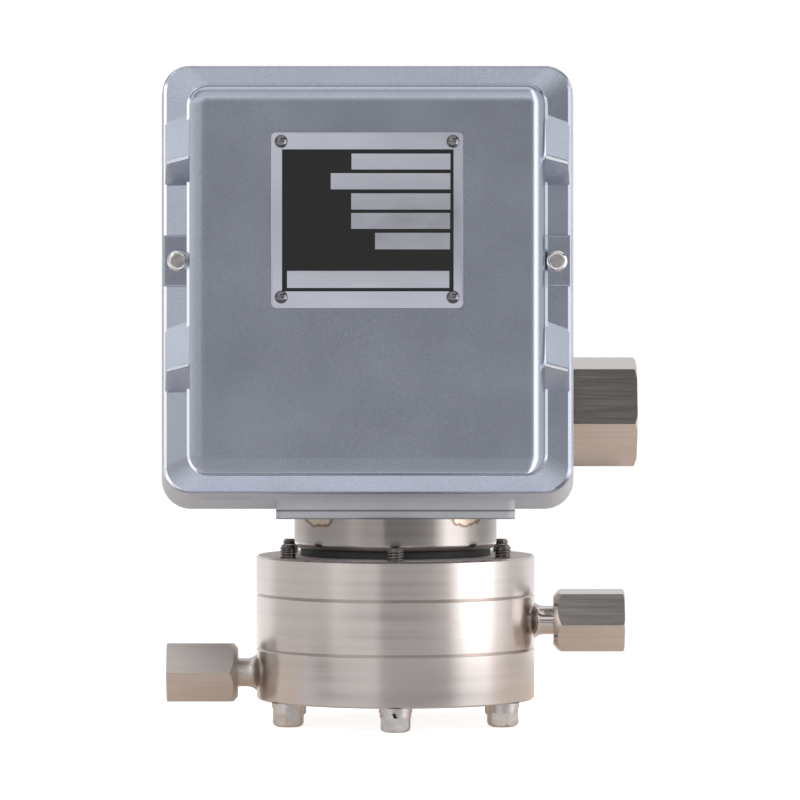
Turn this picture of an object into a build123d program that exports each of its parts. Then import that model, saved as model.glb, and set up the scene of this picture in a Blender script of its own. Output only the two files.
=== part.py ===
from build123d import *
import math
import os

# Differential pressure switch, in millimetres.
# +Z is up, -Y faces the reader of the nameplate, +X is to the reader's right.
# The origin is on the axis of the flange stack, in the plane of the six bolt heads that it stands on.

# Flange bolts, six M6 hexagon head screws with a spring washer and a flat washer each
bolt_count = 6
bolt_pcd = 89.0
bolt_d = 6.0
bolt_hole_d = 6.6
bolt_head_af = 10.0
bolt_head_h = 5.2
bolt_tip_proud = 4.7
bolt_tip_chamfer = 1.0
bolt_turn_deg = 23.0
spring_washer_od = 11.2
spring_washer_t = 1.8
spring_washer_gap = 1.2
flat_washer_od = 12.0
flat_washer_t = 1.6
washer_bore_d = 6.4

# Flange stack, three turned discs
flange_d = 101.0
flange_chamfer = 0.6
lower_flange_h = 18.5
middle_flange_h = 19.5
upper_flange_h = 14.0

# Pressure chambers and diaphragms
chamber_d = 62.0
lower_chamber_depth = 6.0
upper_chamber_depth = 5.0
diaphragm_d = 77.0
diaphragm_t = 1.0
convolution_rise = 2.0
plate_d = 44.0
lower_plate_t = 1.5
upper_plate_t = 2.0
seal_d = 34.0
seal_t = 0.8
middle_bore_d = 12.0
seal_pocket_d = 20.0
seal_pocket_depth = 4.0
rod_nut_af = 10.0
rod_nut_h = 3.2
rod_stub_proud = 0.6

# Push rod and its guide bush
rod_d = 8.0
rod_stub_d = 6.0
rod_tip_d = 6.0
rod_travel = 0.8
rod_collar_d = 14.0
rod_collar_h = 3.0
bush_od = 14.0
bush_collar_d = 18.0
bush_collar_h = 2.0
bush_running_gap = 0.03

# Pressure ports, turned from hexagon bar and welded into the discs
port_af = 21.0
port_neck_d = 10.3
port_flare_d = 17.4
port_flare_l = 3.8
port_flare_sink = 0.8
port_neck_l = 6.8
port_cone_l = 2.9
port_hex_l = 22.8
port_cone_d = 17.8
port_socket_depth = 5.5
port_bore_r = 5.7
port_bore_depth = 15.0
port_passage_d = 5.0
port_chamber_x = 24.0
high_port_turn_deg = 3.0
low_port_turn_deg = 5.5

# Spring housing between the flanges and the enclosure, with its seal
gasket_d = 69.0
gasket_bore_d = 44.0
gasket_t = 2.5
neck_d = 73.5
neck_h = 12.0
neck_edge_r = 2.5
neck_bore_d = 34.0
neck_screw_pcd = 58.0
neck_screw_d = 5.0
neck_screw_hole_d = 5.5
neck_screw_head_d = 8.5
neck_screw_head_h = 5.0
neck_screw_engage = 10.0
neck_screw_key_af = 4.0

# Enclosure: joint plane of cover and rear housing, widths and heights in the front view
case_x = -10.0
cover_w = 145.5
cover_h = 152.0
cover_corner_r = 9.5
cover_edge_r = 1.0
cover_clear_of_floor = 84.6
joint_y = -38.0
cover_flange_t = 8.0
border_fall = 1.4
panel_side_border = 9.6
panel_end_border = 7.2
panel_corner_r = 7.0
panel_rise = 14.0
panel_draft_deg = 3.0
panel_edge_r = 5.5
panel_foot_r = 1.0
cover_wall = 3.5
lip_h = 3.0
lip_t = 2.0
lip_gap = 0.4

# Wedge ribs on the cover's side strips, heights above the cover's lower edge
rib_pitch = 73.4
rib_crease_inner = 135.9
rib_crease_outer = 131.7
rib_ridge_inner = 119.6
rib_ridge_outer = 116.8
rib_foot = 109.3
rib_rise_inner = 11.0
rib_rise_outer = 8.0
rib_ridge_r = 1.5
rib_end_lean = 0.9

# Cover screws, M4 cross-recess pan heads, and the raised pads under them
cover_screw_d = 4.0
cover_screw_inset = 5.65
cover_screw_z = 82.7
cover_screw_head_d = 7.8
cover_screw_head_h = 2.7
cover_screw_engage = 8.0
cover_screw_gap = 0.05
screw_pad_h = 18.2
screw_pad_rise = 0.9
screw_pad_edge_r = 0.5

# Nameplate and its drive rivets
nameplate_w = 67.7
nameplate_h = 62.0
nameplate_t = 0.8
nameplate_corner_r = 2.0
nameplate_z = 97.0
rivet_head_d = 4.6
rivet_head_h = 1.3
rivet_shank_d = 2.4
rivet_shank_l = 2.6
rivet_inset_x = 3.6
rivet_inset_top = 3.3
rivet_inset_foot = 3.9

# Rear housing casting
rim_front_inset = 0.8
rim_proud = 1.0
rim_drop = 6.1
rim_corner_r = 10.5
rim_flare_depth = 10.0
rim_depth = 14.0
body_inset = 7.25
body_drop = 2.6
body_top_step = 8.6
body_corner_r = 9.0
body_back_y = 36.0
body_back_r = 5.0
body_draft_deg = 1.5
body_wall = 4.5
cavity_top_step = 12.6
cavity_corner_r = 6.0
cavity_back_y = 32.0
cavity_draft_deg = 1.0
floor_t = 13.0
floor_face_y = -27.0
floor_face_h = 3.0
pad_w = 85.5
pad_front_y = -34.0
pad_back_y = 34.0
pad_corner_r = 3.0
seal_groove_w = 2.5
seal_groove_depth = 2.0
seal_groove_offset = 2.2
wall_mount_x = 100.0
wall_mount_z = 110.0
wall_mount_hole_r = 3.0
wall_mount_depth = 10.0
wall_mount_boss_d = 14.0
wall_mount_boss_h = 3.0
wall_mount_height = 155.0

# Conduit hub on the right-hand wall
hub_z = 112.6
hub_y = 2.0
hub_af = 36.0
hub_end_x = 87.3
hub_turn_deg = 11.0
hub_chamfer = 1.6
hub_bore_r = 12.06
hub_bore_depth = 18.0
hub_lead_in = 1.2
hub_thread_proud = 1.5
hub_through_d = 22.0
hub_spigot_d = 30.0
hub_boss_d = 46.0
hub_boss_rise = 2.0
hub_seal_t = 1.5
hub_seal_d = 39.0
hub_face_gap = 0.8
locknut_af = 38.0
locknut_h = 5.0

# Range spring, its seats and the hollow adjusting nut
spring_wire_d = 3.2
spring_mean_d = 22.0
spring_l = 43.0
spring_turns = 6.5
seat_d = 28.0
lower_seat_t = 3.0
upper_seat_t = 4.0
seat_spigot_d = 17.0
seat_spigot_h = 2.0
seat_bore_d = 7.2
adjust_travel = 4.0
adjust_nut_d = 26.0
adjust_nut_af = 22.0
adjust_nut_hex_h = 8.0
adjust_nut_bore_d = 7.2
adjust_thread_gap = 0.05
adjust_spare = 1.0

# Spring bridge, folded from thick sheet, with a boss for the adjusting nut
bridge_t = 4.0
bridge_depth = 30.0
bridge_leg_x = 22.0
bridge_foot_x = 42.0
bridge_bend_r = 2.0
bridge_boss_d = 36.0
bridge_boss_h = 6.0
bridge_slot_w = 6.1
seat_ear_w = 6.0
seat_ear_x = 25.5
bridge_screw_x = 35.0
bridge_screw_y = 9.0
small_screw_d = 4.0
small_screw_head_d = 7.0
small_screw_head_h = 2.4
small_screw_engage = 8.0
screw_clearance = 0.15
hole_spare = 1.0

# Scale plate on the bridge's front edge and the pointer on the upper seat
scale_w = 16.0
scale_h = 28.0
scale_t = 1.0
scale_corner_r = 1.5
scale_left = 22.0
scale_drop = 17.0
scale_screw_d = 2.0
scale_screw_head_d = 3.6
scale_screw_head_h = 1.2
scale_screw_engage = 4.0
scale_screw_foot_inset = 2.5
scale_screw_top_inset = 4.5
pointer_t = 2.0
pointer_w = 6.0
pointer_gap = 1.5
pointer_reach = 14.5

# Microswitch and its folded bracket
switch_l = 49.2
switch_h = 24.2
switch_t = 17.5
switch_edge_r = 1.0
plunger_d = 4.0
plunger_proud = 3.0
plunger_inside = 6.0
plunger_gap = 0.05
switch_screw_x = 12.7
switch_screw_z = 8.0
switch_screw_l_beyond = 2.0
switch_front_step = 0.8
switch_front_step_h = 5.0
terminal_pitch = 18.0
terminal_w = 7.0
terminal_l = 12.0
terminal_t = 1.2
clamp_screw_d = 5.6
clamp_screw_h = 2.0
clamp_screw_y = -2.2
clamp_slot_w = 0.8
clamp_slot_depth = 0.8
bracket_t = 2.0
bracket_w = 40.0
bracket_bend_r = 1.0
bracket_foot_gap = 1.0
bracket_shelf_gap = 1.5
bracket_edge = 6.0
bracket_screw_x = 12.0
bracket_screw_rise = 20.0
wall_screw_engage = 4.0
wall_boss_h = 2.0
wall_boss_d = 10.0

# Terminal block
block_wall_gap = 5.0
block_z = 140.0
block_w = 32.0
block_h = 24.0
block_depth = 18.0
block_edge_r = 0.8
block_ear_w = 12.8
block_ear_r = 2.5
block_ear_h = 7.0
block_ear_t = 5.0
block_pole_pitch = 10.0
block_rib_w = 1.6
block_rib_depth = 4.0
terminal_screw_d = 5.0
terminal_screw_h = 2.2
terminal_screw_edge_r = 0.5
terminal_slot_w = 0.9
terminal_slot_depth = 1.0

# Internal leads
wire_d = 2.2
wire_rise = 14.0
wire_step = 6.0
wire_bend_r = 8.0
wire_y = 4.5
wire_block_y = 17.0

# Earth screw
earth_wall_gap = 13.0
earth_z = 150.0
earth_screw_d = 5.0
earth_head_d = 9.0
earth_head_h = 3.2
earth_washer_d = 11.0
earth_washer_t = 1.0
earth_boss_d = 12.0
earth_boss_h = 4.0
earth_engage = 5.0

# Levels of the stack, worked out from the sizes above
z_lower = bolt_head_h + spring_washer_t + flat_washer_t
z_middle = z_lower + lower_flange_h
z_upper = z_middle + middle_flange_h
z_gasket = z_upper + upper_flange_h
z_neck = z_gasket + gasket_t
z_pad = z_neck + neck_h
z_floor = z_pad + floor_t
z_lower_port = z_lower + lower_flange_h / 2
z_upper_port = z_middle + middle_flange_h / 2
flange_r = flange_d / 2

# Levels of the rod and the spring train
z_rod_stub = z_middle - lower_plate_t - rod_nut_h - rod_stub_proud
z_rod_shoulder = z_middle + diaphragm_t + upper_plate_t
z_rod_collar = z_neck + 2.0
z_lower_seat = z_rod_collar + rod_collar_h
z_spring = z_lower_seat + lower_seat_t
z_upper_seat = z_spring + spring_l
z_nut = z_upper_seat + upper_seat_t
z_bridge_plate = z_nut + adjust_travel + adjust_spare
z_bridge_boss = z_bridge_plate + bridge_t + bridge_boss_h
z_nut_hex = z_bridge_boss + adjust_travel + adjust_spare
z_nut_top = z_nut_hex + adjust_nut_hex_h
z_rod_top = z_nut_top + adjust_travel + adjust_spare
z_plunger = z_rod_top + plunger_gap
z_switch = z_plunger + plunger_proud
z_switch_top = z_switch + switch_h

# Places in the enclosure, worked out from the sizes above
cover_foot = cover_clear_of_floor
case_z = cover_foot + cover_h / 2
flange_y = joint_y - cover_flange_t
brim_y = flange_y + border_fall
panel_y = flange_y - panel_rise
panel_w = cover_w - 2 * panel_side_border
panel_h = cover_h - 2 * panel_end_border
cover_screw_x = cover_w / 2 - cover_screw_inset
rim_w = cover_w + 2 * rim_proud
rim_foot = cover_foot - rim_drop
rim_top = cover_foot + cover_h
body_w = cover_w - 2 * body_inset
body_foot = cover_foot - body_drop
body_top = rim_top - body_top_step
cavity_top = rim_top - cavity_top_step
cavity_w = body_w - 2 * body_wall
switch_back_y = switch_t / 2
boss_y = cavity_back_y - wall_boss_h
screw_z = cover_foot + cover_screw_z
hub_wall_x = case_x + body_w / 2 + hub_boss_rise
hub_hex_x = hub_wall_x + hub_seal_t
hub_core_x = case_x + cavity_w / 2 - 2 * locknut_h
block_x = case_x - cavity_w / 2 + block_wall_gap + block_w / 2
earth_x = case_x + cavity_w / 2 - earth_wall_gap


# Boxes, cylinders and cones centred on Z, with their foot or their top at z = 0
standing = (Align.CENTER, Align.CENTER, Align.MIN)
hanging = (Align.CENTER, Align.CENTER, Align.MAX)


def turned(points):
    """Solid turned about Z from (radius, height) points."""
    outline = Polyline(*[(r, 0, z) for r, z in points], close=True)
    return revolve(make_face(outline), Axis.Z, 360)


def rod_between(radius, start, end):
    """Round bar from one point to another."""
    line = Vector(*end) - Vector(*start)
    plane = Plane(origin=start, z_dir=line)
    return extrude(plane * Circle(radius), line.length)


def ring_points(pcd, count, first_deg):
    """Points of a hole circle in the XY plane."""
    step = 360 / count
    angles = [math.radians(first_deg + step * i) for i in range(count)]
    return [(pcd / 2 * math.cos(a), pcd / 2 * math.sin(a)) for a in angles]


def bolt_points():
    """Flange bolt centres: one bolt is at the front, in line with the axis."""
    return ring_points(bolt_pcd, bolt_count, -90)


def neck_screw_points():
    return ring_points(neck_screw_pcd, 4, 45)


def hexagon(across_flats, turn_deg=0):
    return RegularPolygon(across_flats / 2, 6, major_radius=False, rotation=turn_deg)


def slab(width, height, corner_r, centre_z, y_from, y_to, draft_deg=0):
    """Rounded slab, drawn in the front view and extruded along Y; the draft narrows it towards y_to."""
    facing = -1 if y_to < y_from else 1
    plane = Plane(origin=(case_x, y_from, centre_z), x_dir=(-facing, 0, 0), z_dir=(0, facing, 0))
    outline = plane * RectangleRounded(width, height, corner_r)
    return extrude(outline, abs(y_to - y_from), taper=draft_deg)


def slab_between(width, corner_r, foot, top, y_from, y_to, draft_deg=0):
    return slab(width, top - foot, corner_r, (foot + top) / 2, y_from, y_to, draft_deg)


def front_edges(solid):
    return solid.faces().sort_by(Axis.Y)[0].edges()


def back_edges(solid):
    return solid.faces().sort_by(Axis.Y)[-1].edges()


def cross_recess(width, depth):
    """Cutter for a cross recess, opening upwards at z = 0."""
    blade = Box(width, width * 0.24, depth, align=hanging)
    core = Cone(width * 0.08, width * 0.24, depth, align=hanging)
    return blade + Rot(0, 0, 90) * blade + core


def pan_screw(head_d, head_h, shank_d, shank_l):
    """Cross-recess pan head screw along Z: the head sits above z = 0 and the shank hangs below."""
    head = Cylinder(head_d / 2, head_h, align=standing)
    head = fillet(head.faces().sort_by(Axis.Z)[-1].edges(), head_h * 0.55)
    shank = Cylinder(shank_d / 2, shank_l, align=hanging)
    shank = chamfer(shank.faces().sort_by(Axis.Z)[0].edges(), shank_d * 0.12)
    return head + shank - Pos(0, 0, head_h) * cross_recess(head_d * 0.64, head_h * 0.66)


def facing_front(x, y, z):
    """Place whose local Z points towards the reader."""
    return Plane(origin=(x, y, z), x_dir=(1, 0, 0), z_dir=(0, -1, 0)).location


# Flanges

def port_plane(side, z):
    """Local Z runs outwards from the disc's rim, to the left for side -1 and to the right for side +1."""
    return Plane(origin=(side * flange_r, 0, z), x_dir=(0, 1, 0), z_dir=(side, 0, 0))


def port_socket(side, z):
    """Cutter in the rim for the port's spigot and the passage towards the chamber."""
    rim_x = side * flange_r
    socket_x = rim_x - side * port_socket_depth
    socket = rod_between(port_neck_d / 2, (rim_x + side, 0, z), (socket_x, 0, z))
    passage = rod_between(port_passage_d / 2, (rim_x, 0, z), (side * port_chamber_x, 0, z))
    return socket + passage


def chamber_drill(side, z_port, z_chamber):
    """Upright drilling that joins the passage to the chamber."""
    x = side * port_chamber_x
    return rod_between(port_passage_d / 2, (x, 0, z_port), (x, 0, z_chamber))


def bolt_drills(diameter, z0, z1):
    return [rod_between(diameter / 2, (x, y, z0), (x, y, z1)) for x, y in bolt_points()]


def disc(z0, z1):
    c = flange_chamfer
    r = flange_r
    return turned([(0, z0), (r - c, z0), (r, z0 + c), (r, z1 - c), (r - c, z1), (0, z1)])


def make_lower_flange():
    body = disc(z_lower, z_middle)
    chamber_floor = z_middle - lower_chamber_depth
    body -= rod_between(chamber_d / 2, (0, 0, chamber_floor), (0, 0, z_middle))
    body -= port_socket(-1, z_lower_port)
    body -= chamber_drill(-1, z_lower_port, chamber_floor + 1)
    for drill in bolt_drills(bolt_hole_d, z_lower, z_middle):
        body -= drill
    return body


def make_middle_flange():
    body = disc(z_middle, z_upper)
    chamber_roof = z_middle + diaphragm_t + upper_chamber_depth
    body -= rod_between(diaphragm_d / 2, (0, 0, z_middle), (0, 0, z_middle + diaphragm_t))
    body -= rod_between(chamber_d / 2, (0, 0, z_middle), (0, 0, chamber_roof))
    body -= rod_between(middle_bore_d / 2, (0, 0, z_middle), (0, 0, z_upper))
    body -= port_socket(1, z_upper_port)
    body -= chamber_drill(1, z_upper_port, chamber_roof - 1)
    for drill in bolt_drills(bolt_hole_d, z_middle, z_upper):
        body -= drill
    return body


def make_upper_flange():
    body = disc(z_upper, z_gasket)
    body -= rod_between(seal_d / 2, (0, 0, z_upper), (0, 0, z_upper + seal_t))
    body -= rod_between(seal_pocket_d / 2, (0, 0, z_upper), (0, 0, z_upper + seal_pocket_depth))
    body -= rod_between(bush_od / 2, (0, 0, z_upper), (0, 0, z_gasket))
    for drill in bolt_drills(bolt_d, z_upper, z_gasket):
        body -= drill
    for x, y in neck_screw_points():
        body -= rod_between(neck_screw_d / 2, (x, y, z_gasket), (x, y, z_gasket - neck_screw_engage - 1))
    return body


def make_port_adapter(side, z, turn_deg):
    """Weld flare, neck, coned shoulder and hexagon, with a blind tapped bore and a passage behind it."""
    plane = port_plane(side, z)
    neck_r = port_neck_d / 2
    flare_r = port_flare_d / 2
    end = port_neck_l + port_cone_l + port_hex_l
    corner_r = port_af / 2 / math.cos(math.radians(30)) + 0.1
    envelope = turned([(0, port_neck_l), (port_cone_d / 2, port_neck_l),
                       (corner_r, port_neck_l + port_cone_l), (corner_r, end - 0.6),
                       (corner_r - 1.0, end), (0, end)])
    hexagon_bar = Pos(0, 0, port_neck_l) * extrude(hexagon(port_af, turn_deg), end - port_neck_l)
    sink = 2.0
    flare_side = Spline((flare_r, 0, -port_flare_sink), (neck_r, 0, port_flare_l),
                        tangents=[(-1, 0, 0.2), (0, 0, 1)])
    flare_rest = Polyline((neck_r, 0, port_flare_l), (neck_r, 0, port_neck_l + 0.5),
                          (0, 0, port_neck_l + 0.5), (0, 0, -sink), (flare_r, 0, -sink),
                          (flare_r, 0, -port_flare_sink))
    neck = revolve(make_face(flare_side + flare_rest), Axis.Z, 360)
    body = plane.location * (neck + (hexagon_bar & envelope))
    body -= rod_between(flange_r, (0, 0, z - port_flare_d), (0, 0, z + port_flare_d))
    spigot = plane.location * rod_between(neck_r, (0, 0, -port_socket_depth), (0, 0, 1))
    bore = turned([(0, -port_socket_depth), (port_passage_d / 2, -port_socket_depth),
                   (port_passage_d / 2, end - port_bore_depth - 2.0), (port_bore_r, end - port_bore_depth),
                   (port_bore_r, end - 0.8), (port_bore_r + 0.8, end), (0, end)])
    return body + spigot - plane.location * bore


def make_flange_bolts():
    """Screws put in from below: the heads are the feet of the switch."""
    corner_r = bolt_head_af / 2 / math.cos(math.radians(30))
    tip = z_gasket + bolt_tip_proud
    r = bolt_d / 2
    dome = turned([(0, 0), (bolt_head_af / 2 - 1.2, 0), (bolt_head_af / 2 - 0.1, 0.5), (corner_r, 1.5),
                   (corner_r, bolt_head_h), (0, bolt_head_h)])
    shank = turned([(0, bolt_head_h), (r, bolt_head_h), (r, tip - bolt_tip_chamfer),
                    (r - bolt_tip_chamfer, tip), (0, tip)])
    bolts = []
    for i, (x, y) in enumerate(bolt_points()):
        head = extrude(hexagon(bolt_head_af, bolt_turn_deg * (i + 1)), bolt_head_h) & dome
        bolts.append(Pos(x, y, 0) * (head + shank))
    return Compound(bolts)


def make_spring_washers():
    """Split washers; each gap faces outwards, turned a little from bolt to bolt."""
    washers = []
    for i, (x, y) in enumerate(bolt_points()):
        washer = extrude(Circle(spring_washer_od / 2) - Circle(washer_bore_d / 2), spring_washer_t)
        slot = Box(spring_washer_od, spring_washer_gap, spring_washer_t * 4,
                   align=(Align.MIN, Align.CENTER, Align.CENTER))
        heading = math.degrees(math.atan2(y, x)) + 35 * i
        washer -= Rot(0, 0, heading) * Rot(18, 0, 0) * slot
        washers.append(Pos(x, y, bolt_head_h) * washer)
    return Compound(washers)


def make_flat_washers():
    z = bolt_head_h + spring_washer_t
    washer = extrude(Circle(flat_washer_od / 2) - Circle(washer_bore_d / 2), flat_washer_t)
    return Compound([Pos(x, y, z) * washer for x, y in bolt_points()])


# Diaphragms, plates and the push rod

def make_sensing_diaphragm():
    """Clamped rim, one raised convolution and a flat middle held between the plates."""
    inner = rod_stub_d / 2
    rim = diaphragm_d / 2
    bend_in = plate_d / 2 + 0.6
    bend_out = chamber_d / 2 - 0.6
    middle = (bend_in + bend_out) / 2
    low = z_middle
    high = z_middle + diaphragm_t
    under = ThreePointArc((bend_in, 0, low), (middle, 0, low + convolution_rise), (bend_out, 0, low))
    over = ThreePointArc((bend_in, 0, high), (middle, 0, high + convolution_rise), (bend_out, 0, high))
    outline = [under, over,
               Line((bend_out, 0, low), (rim, 0, low)), Line((rim, 0, low), (rim, 0, high)),
               Line((rim, 0, high), (bend_out, 0, high)), Line((bend_in, 0, high), (inner, 0, high)),
               Line((inner, 0, high), (inner, 0, low)), Line((inner, 0, low), (bend_in, 0, low))]
    return revolve(make_face(Curve() + outline), Axis.Z, 360)


def make_seal_diaphragm():
    return rod_between(seal_d / 2, (0, 0, z_upper), (0, 0, z_upper + seal_t)) - \
        rod_between(rod_d / 2, (0, 0, z_upper), (0, 0, z_upper + seal_t))


def make_diaphragm_plate(z0, thickness, edge):
    """Round plate; its outer edge on the diaphragm side is rounded so that the diaphragm can roll on it."""
    plate = extrude(Circle(plate_d / 2) - Circle(rod_stub_d / 2), thickness)
    plate = Pos(0, 0, z0) * plate
    rim_edges = plate.edges().filter_by(GeomType.CIRCLE).sort_by(SortBy.RADIUS)[-2:].sort_by(Axis.Z)
    return fillet(rim_edges[edge], 0.6)


def make_diaphragm_nut():
    nut = extrude(hexagon(rod_nut_af, 10) - Circle(rod_stub_d / 2), rod_nut_h)
    corner_r = rod_nut_af / 2 / math.cos(math.radians(30))
    envelope = turned([(0, 0), (corner_r - 0.7, 0), (corner_r, 0.5), (corner_r, rod_nut_h), (0, rod_nut_h)])
    return Pos(0, 0, z_middle - lower_plate_t - rod_nut_h) * (nut & envelope)


def make_push_rod():
    """One turned rod: threaded stub below, guided shank, collar for the spring seat and a domed tip."""
    r_stub = rod_stub_d / 2
    r = rod_d / 2
    r_tip = rod_tip_d / 2
    return turned([(0, z_rod_stub), (r_stub - 0.5, z_rod_stub), (r_stub, z_rod_stub + 0.5),
                   (r_stub, z_rod_shoulder), (r, z_rod_shoulder), (r, z_rod_collar),
                   (rod_collar_d / 2, z_rod_collar), (rod_collar_d / 2, z_lower_seat),
                   (r_tip, z_lower_seat), (r_tip, z_rod_top - 1.0), (r_tip - 1.0, z_rod_top), (0, z_rod_top)])


def make_rod_guide_bush():
    r_in = rod_d / 2 + bush_running_gap
    foot = z_upper + seal_pocket_depth
    top = z_gasket + bush_collar_h
    return turned([(r_in, foot), (bush_od / 2, foot), (bush_od / 2, z_gasket), (bush_collar_d / 2, z_gasket),
                   (bush_collar_d / 2, top - 0.4), (bush_collar_d / 2 - 0.4, top), (r_in, top)])


# Neck between flanges and enclosure

def make_neck_gasket():
    gasket = extrude(Circle(gasket_d / 2) - Circle(gasket_bore_d / 2), gasket_t)
    for x, y in neck_screw_points():
        gasket -= Pos(x, y, 0) * Cylinder(neck_screw_hole_d / 2, gasket_t * 3)
    return Pos(0, 0, z_gasket) * gasket


def make_spring_housing():
    r_out = neck_d / 2
    ring = extrude(Circle(r_out) - Circle(neck_bore_d / 2), neck_h)
    foot_edge = ring.edges().filter_by(GeomType.CIRCLE).group_by(Axis.Z)[0].sort_by(SortBy.RADIUS)[-1]
    ring = fillet(foot_edge, neck_edge_r)
    for x, y in neck_screw_points():
        ring -= Pos(x, y, 0) * Cylinder(neck_screw_hole_d / 2, neck_h * 3)
    return Pos(0, 0, z_neck) * ring


def make_housing_screws():
    """Socket head screws from the enclosure floor through the neck into the upper flange."""
    length = z_floor - z_gasket + neck_screw_engage
    head = Cylinder(neck_screw_head_d / 2, neck_screw_head_h, align=standing)
    head = chamfer(head.faces().sort_by(Axis.Z)[-1].edges(), 0.4)
    shank = Cylinder(neck_screw_d / 2, length, align=hanging)
    socket = Pos(0, 0, neck_screw_head_h - 2.5) * extrude(hexagon(neck_screw_key_af), 2.5)
    screw = head + shank - socket
    return Compound([Pos(x, y, z_floor) * screw for x, y in neck_screw_points()])


# Front cover

def border_y(x):
    """Surface of the right-hand strip, which slopes back from the panel's foot to the outer edge."""
    share = (x - case_x - panel_w / 2) / (cover_w / 2 - panel_w / 2)
    return flange_y + border_fall * max(share, 0)


def rib(level):
    """Wedge rib on the right-hand strip: long upper face, rounded ridge, short steep lower face."""
    sunk = flange_y + cover_flange_t / 2
    base = cover_foot + level

    def section(x, crease, ridge, rise):
        y = border_y(x)
        return make_face(Polyline((x, sunk, base + crease), (x, y, base + crease),
                                  (x, flange_y - rise, base + ridge),
                                  (x, y, base + rib_foot), (x, sunk, base + rib_foot), close=True))

    root_x = case_x + panel_w / 2 - cover_wall / 2
    end_x = case_x + cover_w / 2 - cover_edge_r
    inner = section(root_x, rib_crease_inner, rib_ridge_inner, rib_rise_inner)
    outer = section(end_x, rib_crease_outer, rib_ridge_outer, rib_rise_outer)
    wedge = loft([inner, outer], ruled=True)
    mid_x = (root_x + end_x) / 2
    ridge_edge = wedge.edges().filter_by(lambda e: abs(e.center().X - mid_x) < 1).sort_by(Axis.Y)[0]
    wedge = fillet(ridge_edge, rib_ridge_r)
    lean = math.degrees(math.atan2(rib_end_lean, rib_rise_outer))
    trim = Box(rib_pitch, rib_pitch, rib_pitch, align=(Align.MIN, Align.CENTER, Align.CENTER))
    return wedge - Pos(end_x, flange_y, base + rib_foot) * Rot(0, 0, -lean) * trim


def screw_pad():
    """Raised pad across the right-hand strip, under the cover screw."""
    x0 = case_x + panel_w / 2 - cover_wall / 2
    x1 = case_x + cover_w / 2 - cover_edge_r / 2
    foot = screw_z - screw_pad_h / 2
    depth = screw_pad_rise + cover_flange_t / 2
    pad = Pos(x0, flange_y - screw_pad_rise, foot) * Box(x1 - x0, depth, screw_pad_h, align=Align.MIN)
    return fillet(front_edges(pad), screw_pad_edge_r)


def both_sides(solid):
    """The solid and its mirror image about the enclosure's middle plane."""
    return [solid, mirror(solid, Plane.YZ.offset(case_x))]


def edges_at_y(solid, y):
    """Edges that lie in the plane at this y."""
    return solid.edges().filter_by(lambda e: abs(e.center().Y - y) < 0.01)


def front_outline(y, width, foot, top, corner_r):
    plane = Plane(origin=(case_x, y, (foot + top) / 2), x_dir=(-1, 0, 0), z_dir=(0, 1, 0))
    return (plane * RectangleRounded(width, top - foot, corner_r)).face()


def make_cover_block():
    """Flange with a border that slopes back all round, and the panel that stands on its middle."""
    panel_foot = case_z - panel_h / 2
    panel_top = case_z + panel_h / 2
    brim = slab_between(cover_w, cover_corner_r, cover_foot, rim_top, joint_y, brim_y)
    border = loft([front_outline(brim_y, cover_w, cover_foot, rim_top, cover_corner_r),
                   front_outline(flange_y, panel_w, panel_foot, panel_top, panel_corner_r)], ruled=True)
    flange = brim + border
    flange = fillet(edges_at_y(flange, brim_y), cover_edge_r)
    panel = slab(panel_w, panel_h, panel_corner_r, case_z, flange_y, panel_y, panel_draft_deg)
    block = flange + fillet(front_edges(panel), panel_edge_r)
    return fillet(edges_at_y(block, flange_y), panel_foot_r)


def make_front_cover():
    body = make_cover_block()
    for level in (0, -rib_pitch):
        for wedge in both_sides(rib(level)):
            body += wedge
    for pad in both_sides(screw_pad()):
        body += pad
    hollow_w = panel_w - 2 * cover_wall
    hollow_h = panel_h - 2 * cover_wall
    hollow = slab(hollow_w, hollow_h, cavity_corner_r - 2, case_z, joint_y, panel_y + cover_wall,
                  panel_draft_deg)
    body -= fillet(front_edges(hollow), cavity_corner_r - 3)
    lip_w = cavity_w - 2 * lip_gap
    lip_foot = z_floor + lip_gap
    lip_top = cavity_top - lip_gap
    lip_r = cavity_corner_r - lip_gap
    lip = slab_between(lip_w, lip_r, lip_foot, lip_top, joint_y, joint_y + lip_h)
    lip -= slab_between(lip_w - 2 * lip_t, lip_r - lip_t, lip_foot + lip_t, lip_top - lip_t,
                        joint_y - 1, joint_y + lip_h + 1)
    body += lip
    hole_r = cover_screw_d / 2 + screw_clearance
    for side in (-1, 1):
        x = case_x + side * cover_screw_x
        body -= rod_between(hole_r, (x, joint_y + 1, screw_z), (x, flange_y - 3, screw_z))
    for x, z in rivet_points():
        body -= rod_between(rivet_shank_d / 2, (x, panel_y - 1, z), (x, panel_y + rivet_shank_l, z))
    return body


def make_cover_screws():
    head_y = flange_y - screw_pad_rise
    shank = joint_y - head_y + cover_screw_engage
    screw = pan_screw(cover_screw_head_d, cover_screw_head_h, cover_screw_d, shank)
    left = facing_front(case_x - cover_screw_x, head_y, screw_z) * Rot(0, 0, 8) * screw
    right = facing_front(case_x + cover_screw_x, head_y, screw_z) * Rot(0, 0, -6) * screw
    return Compound([left, right])


def rivet_points():
    z_mid = cover_foot + nameplate_z
    x_off = nameplate_w / 2 - rivet_inset_x
    top = z_mid + nameplate_h / 2 - rivet_inset_top
    foot = z_mid - nameplate_h / 2 + rivet_inset_foot
    return [(case_x + sx * x_off, z) for sx in (-1, 1) for z in (foot, top)]


def make_nameplate():
    z_mid = cover_foot + nameplate_z
    plate = slab(nameplate_w, nameplate_h, nameplate_corner_r, z_mid, panel_y, panel_y - nameplate_t)
    plate = chamfer(front_edges(plate), 0.2)
    for x, z in rivet_points():
        plate -= rod_between(rivet_shank_d / 2, (x, panel_y + 1, z), (x, panel_y - 2, z))
    return plate


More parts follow.
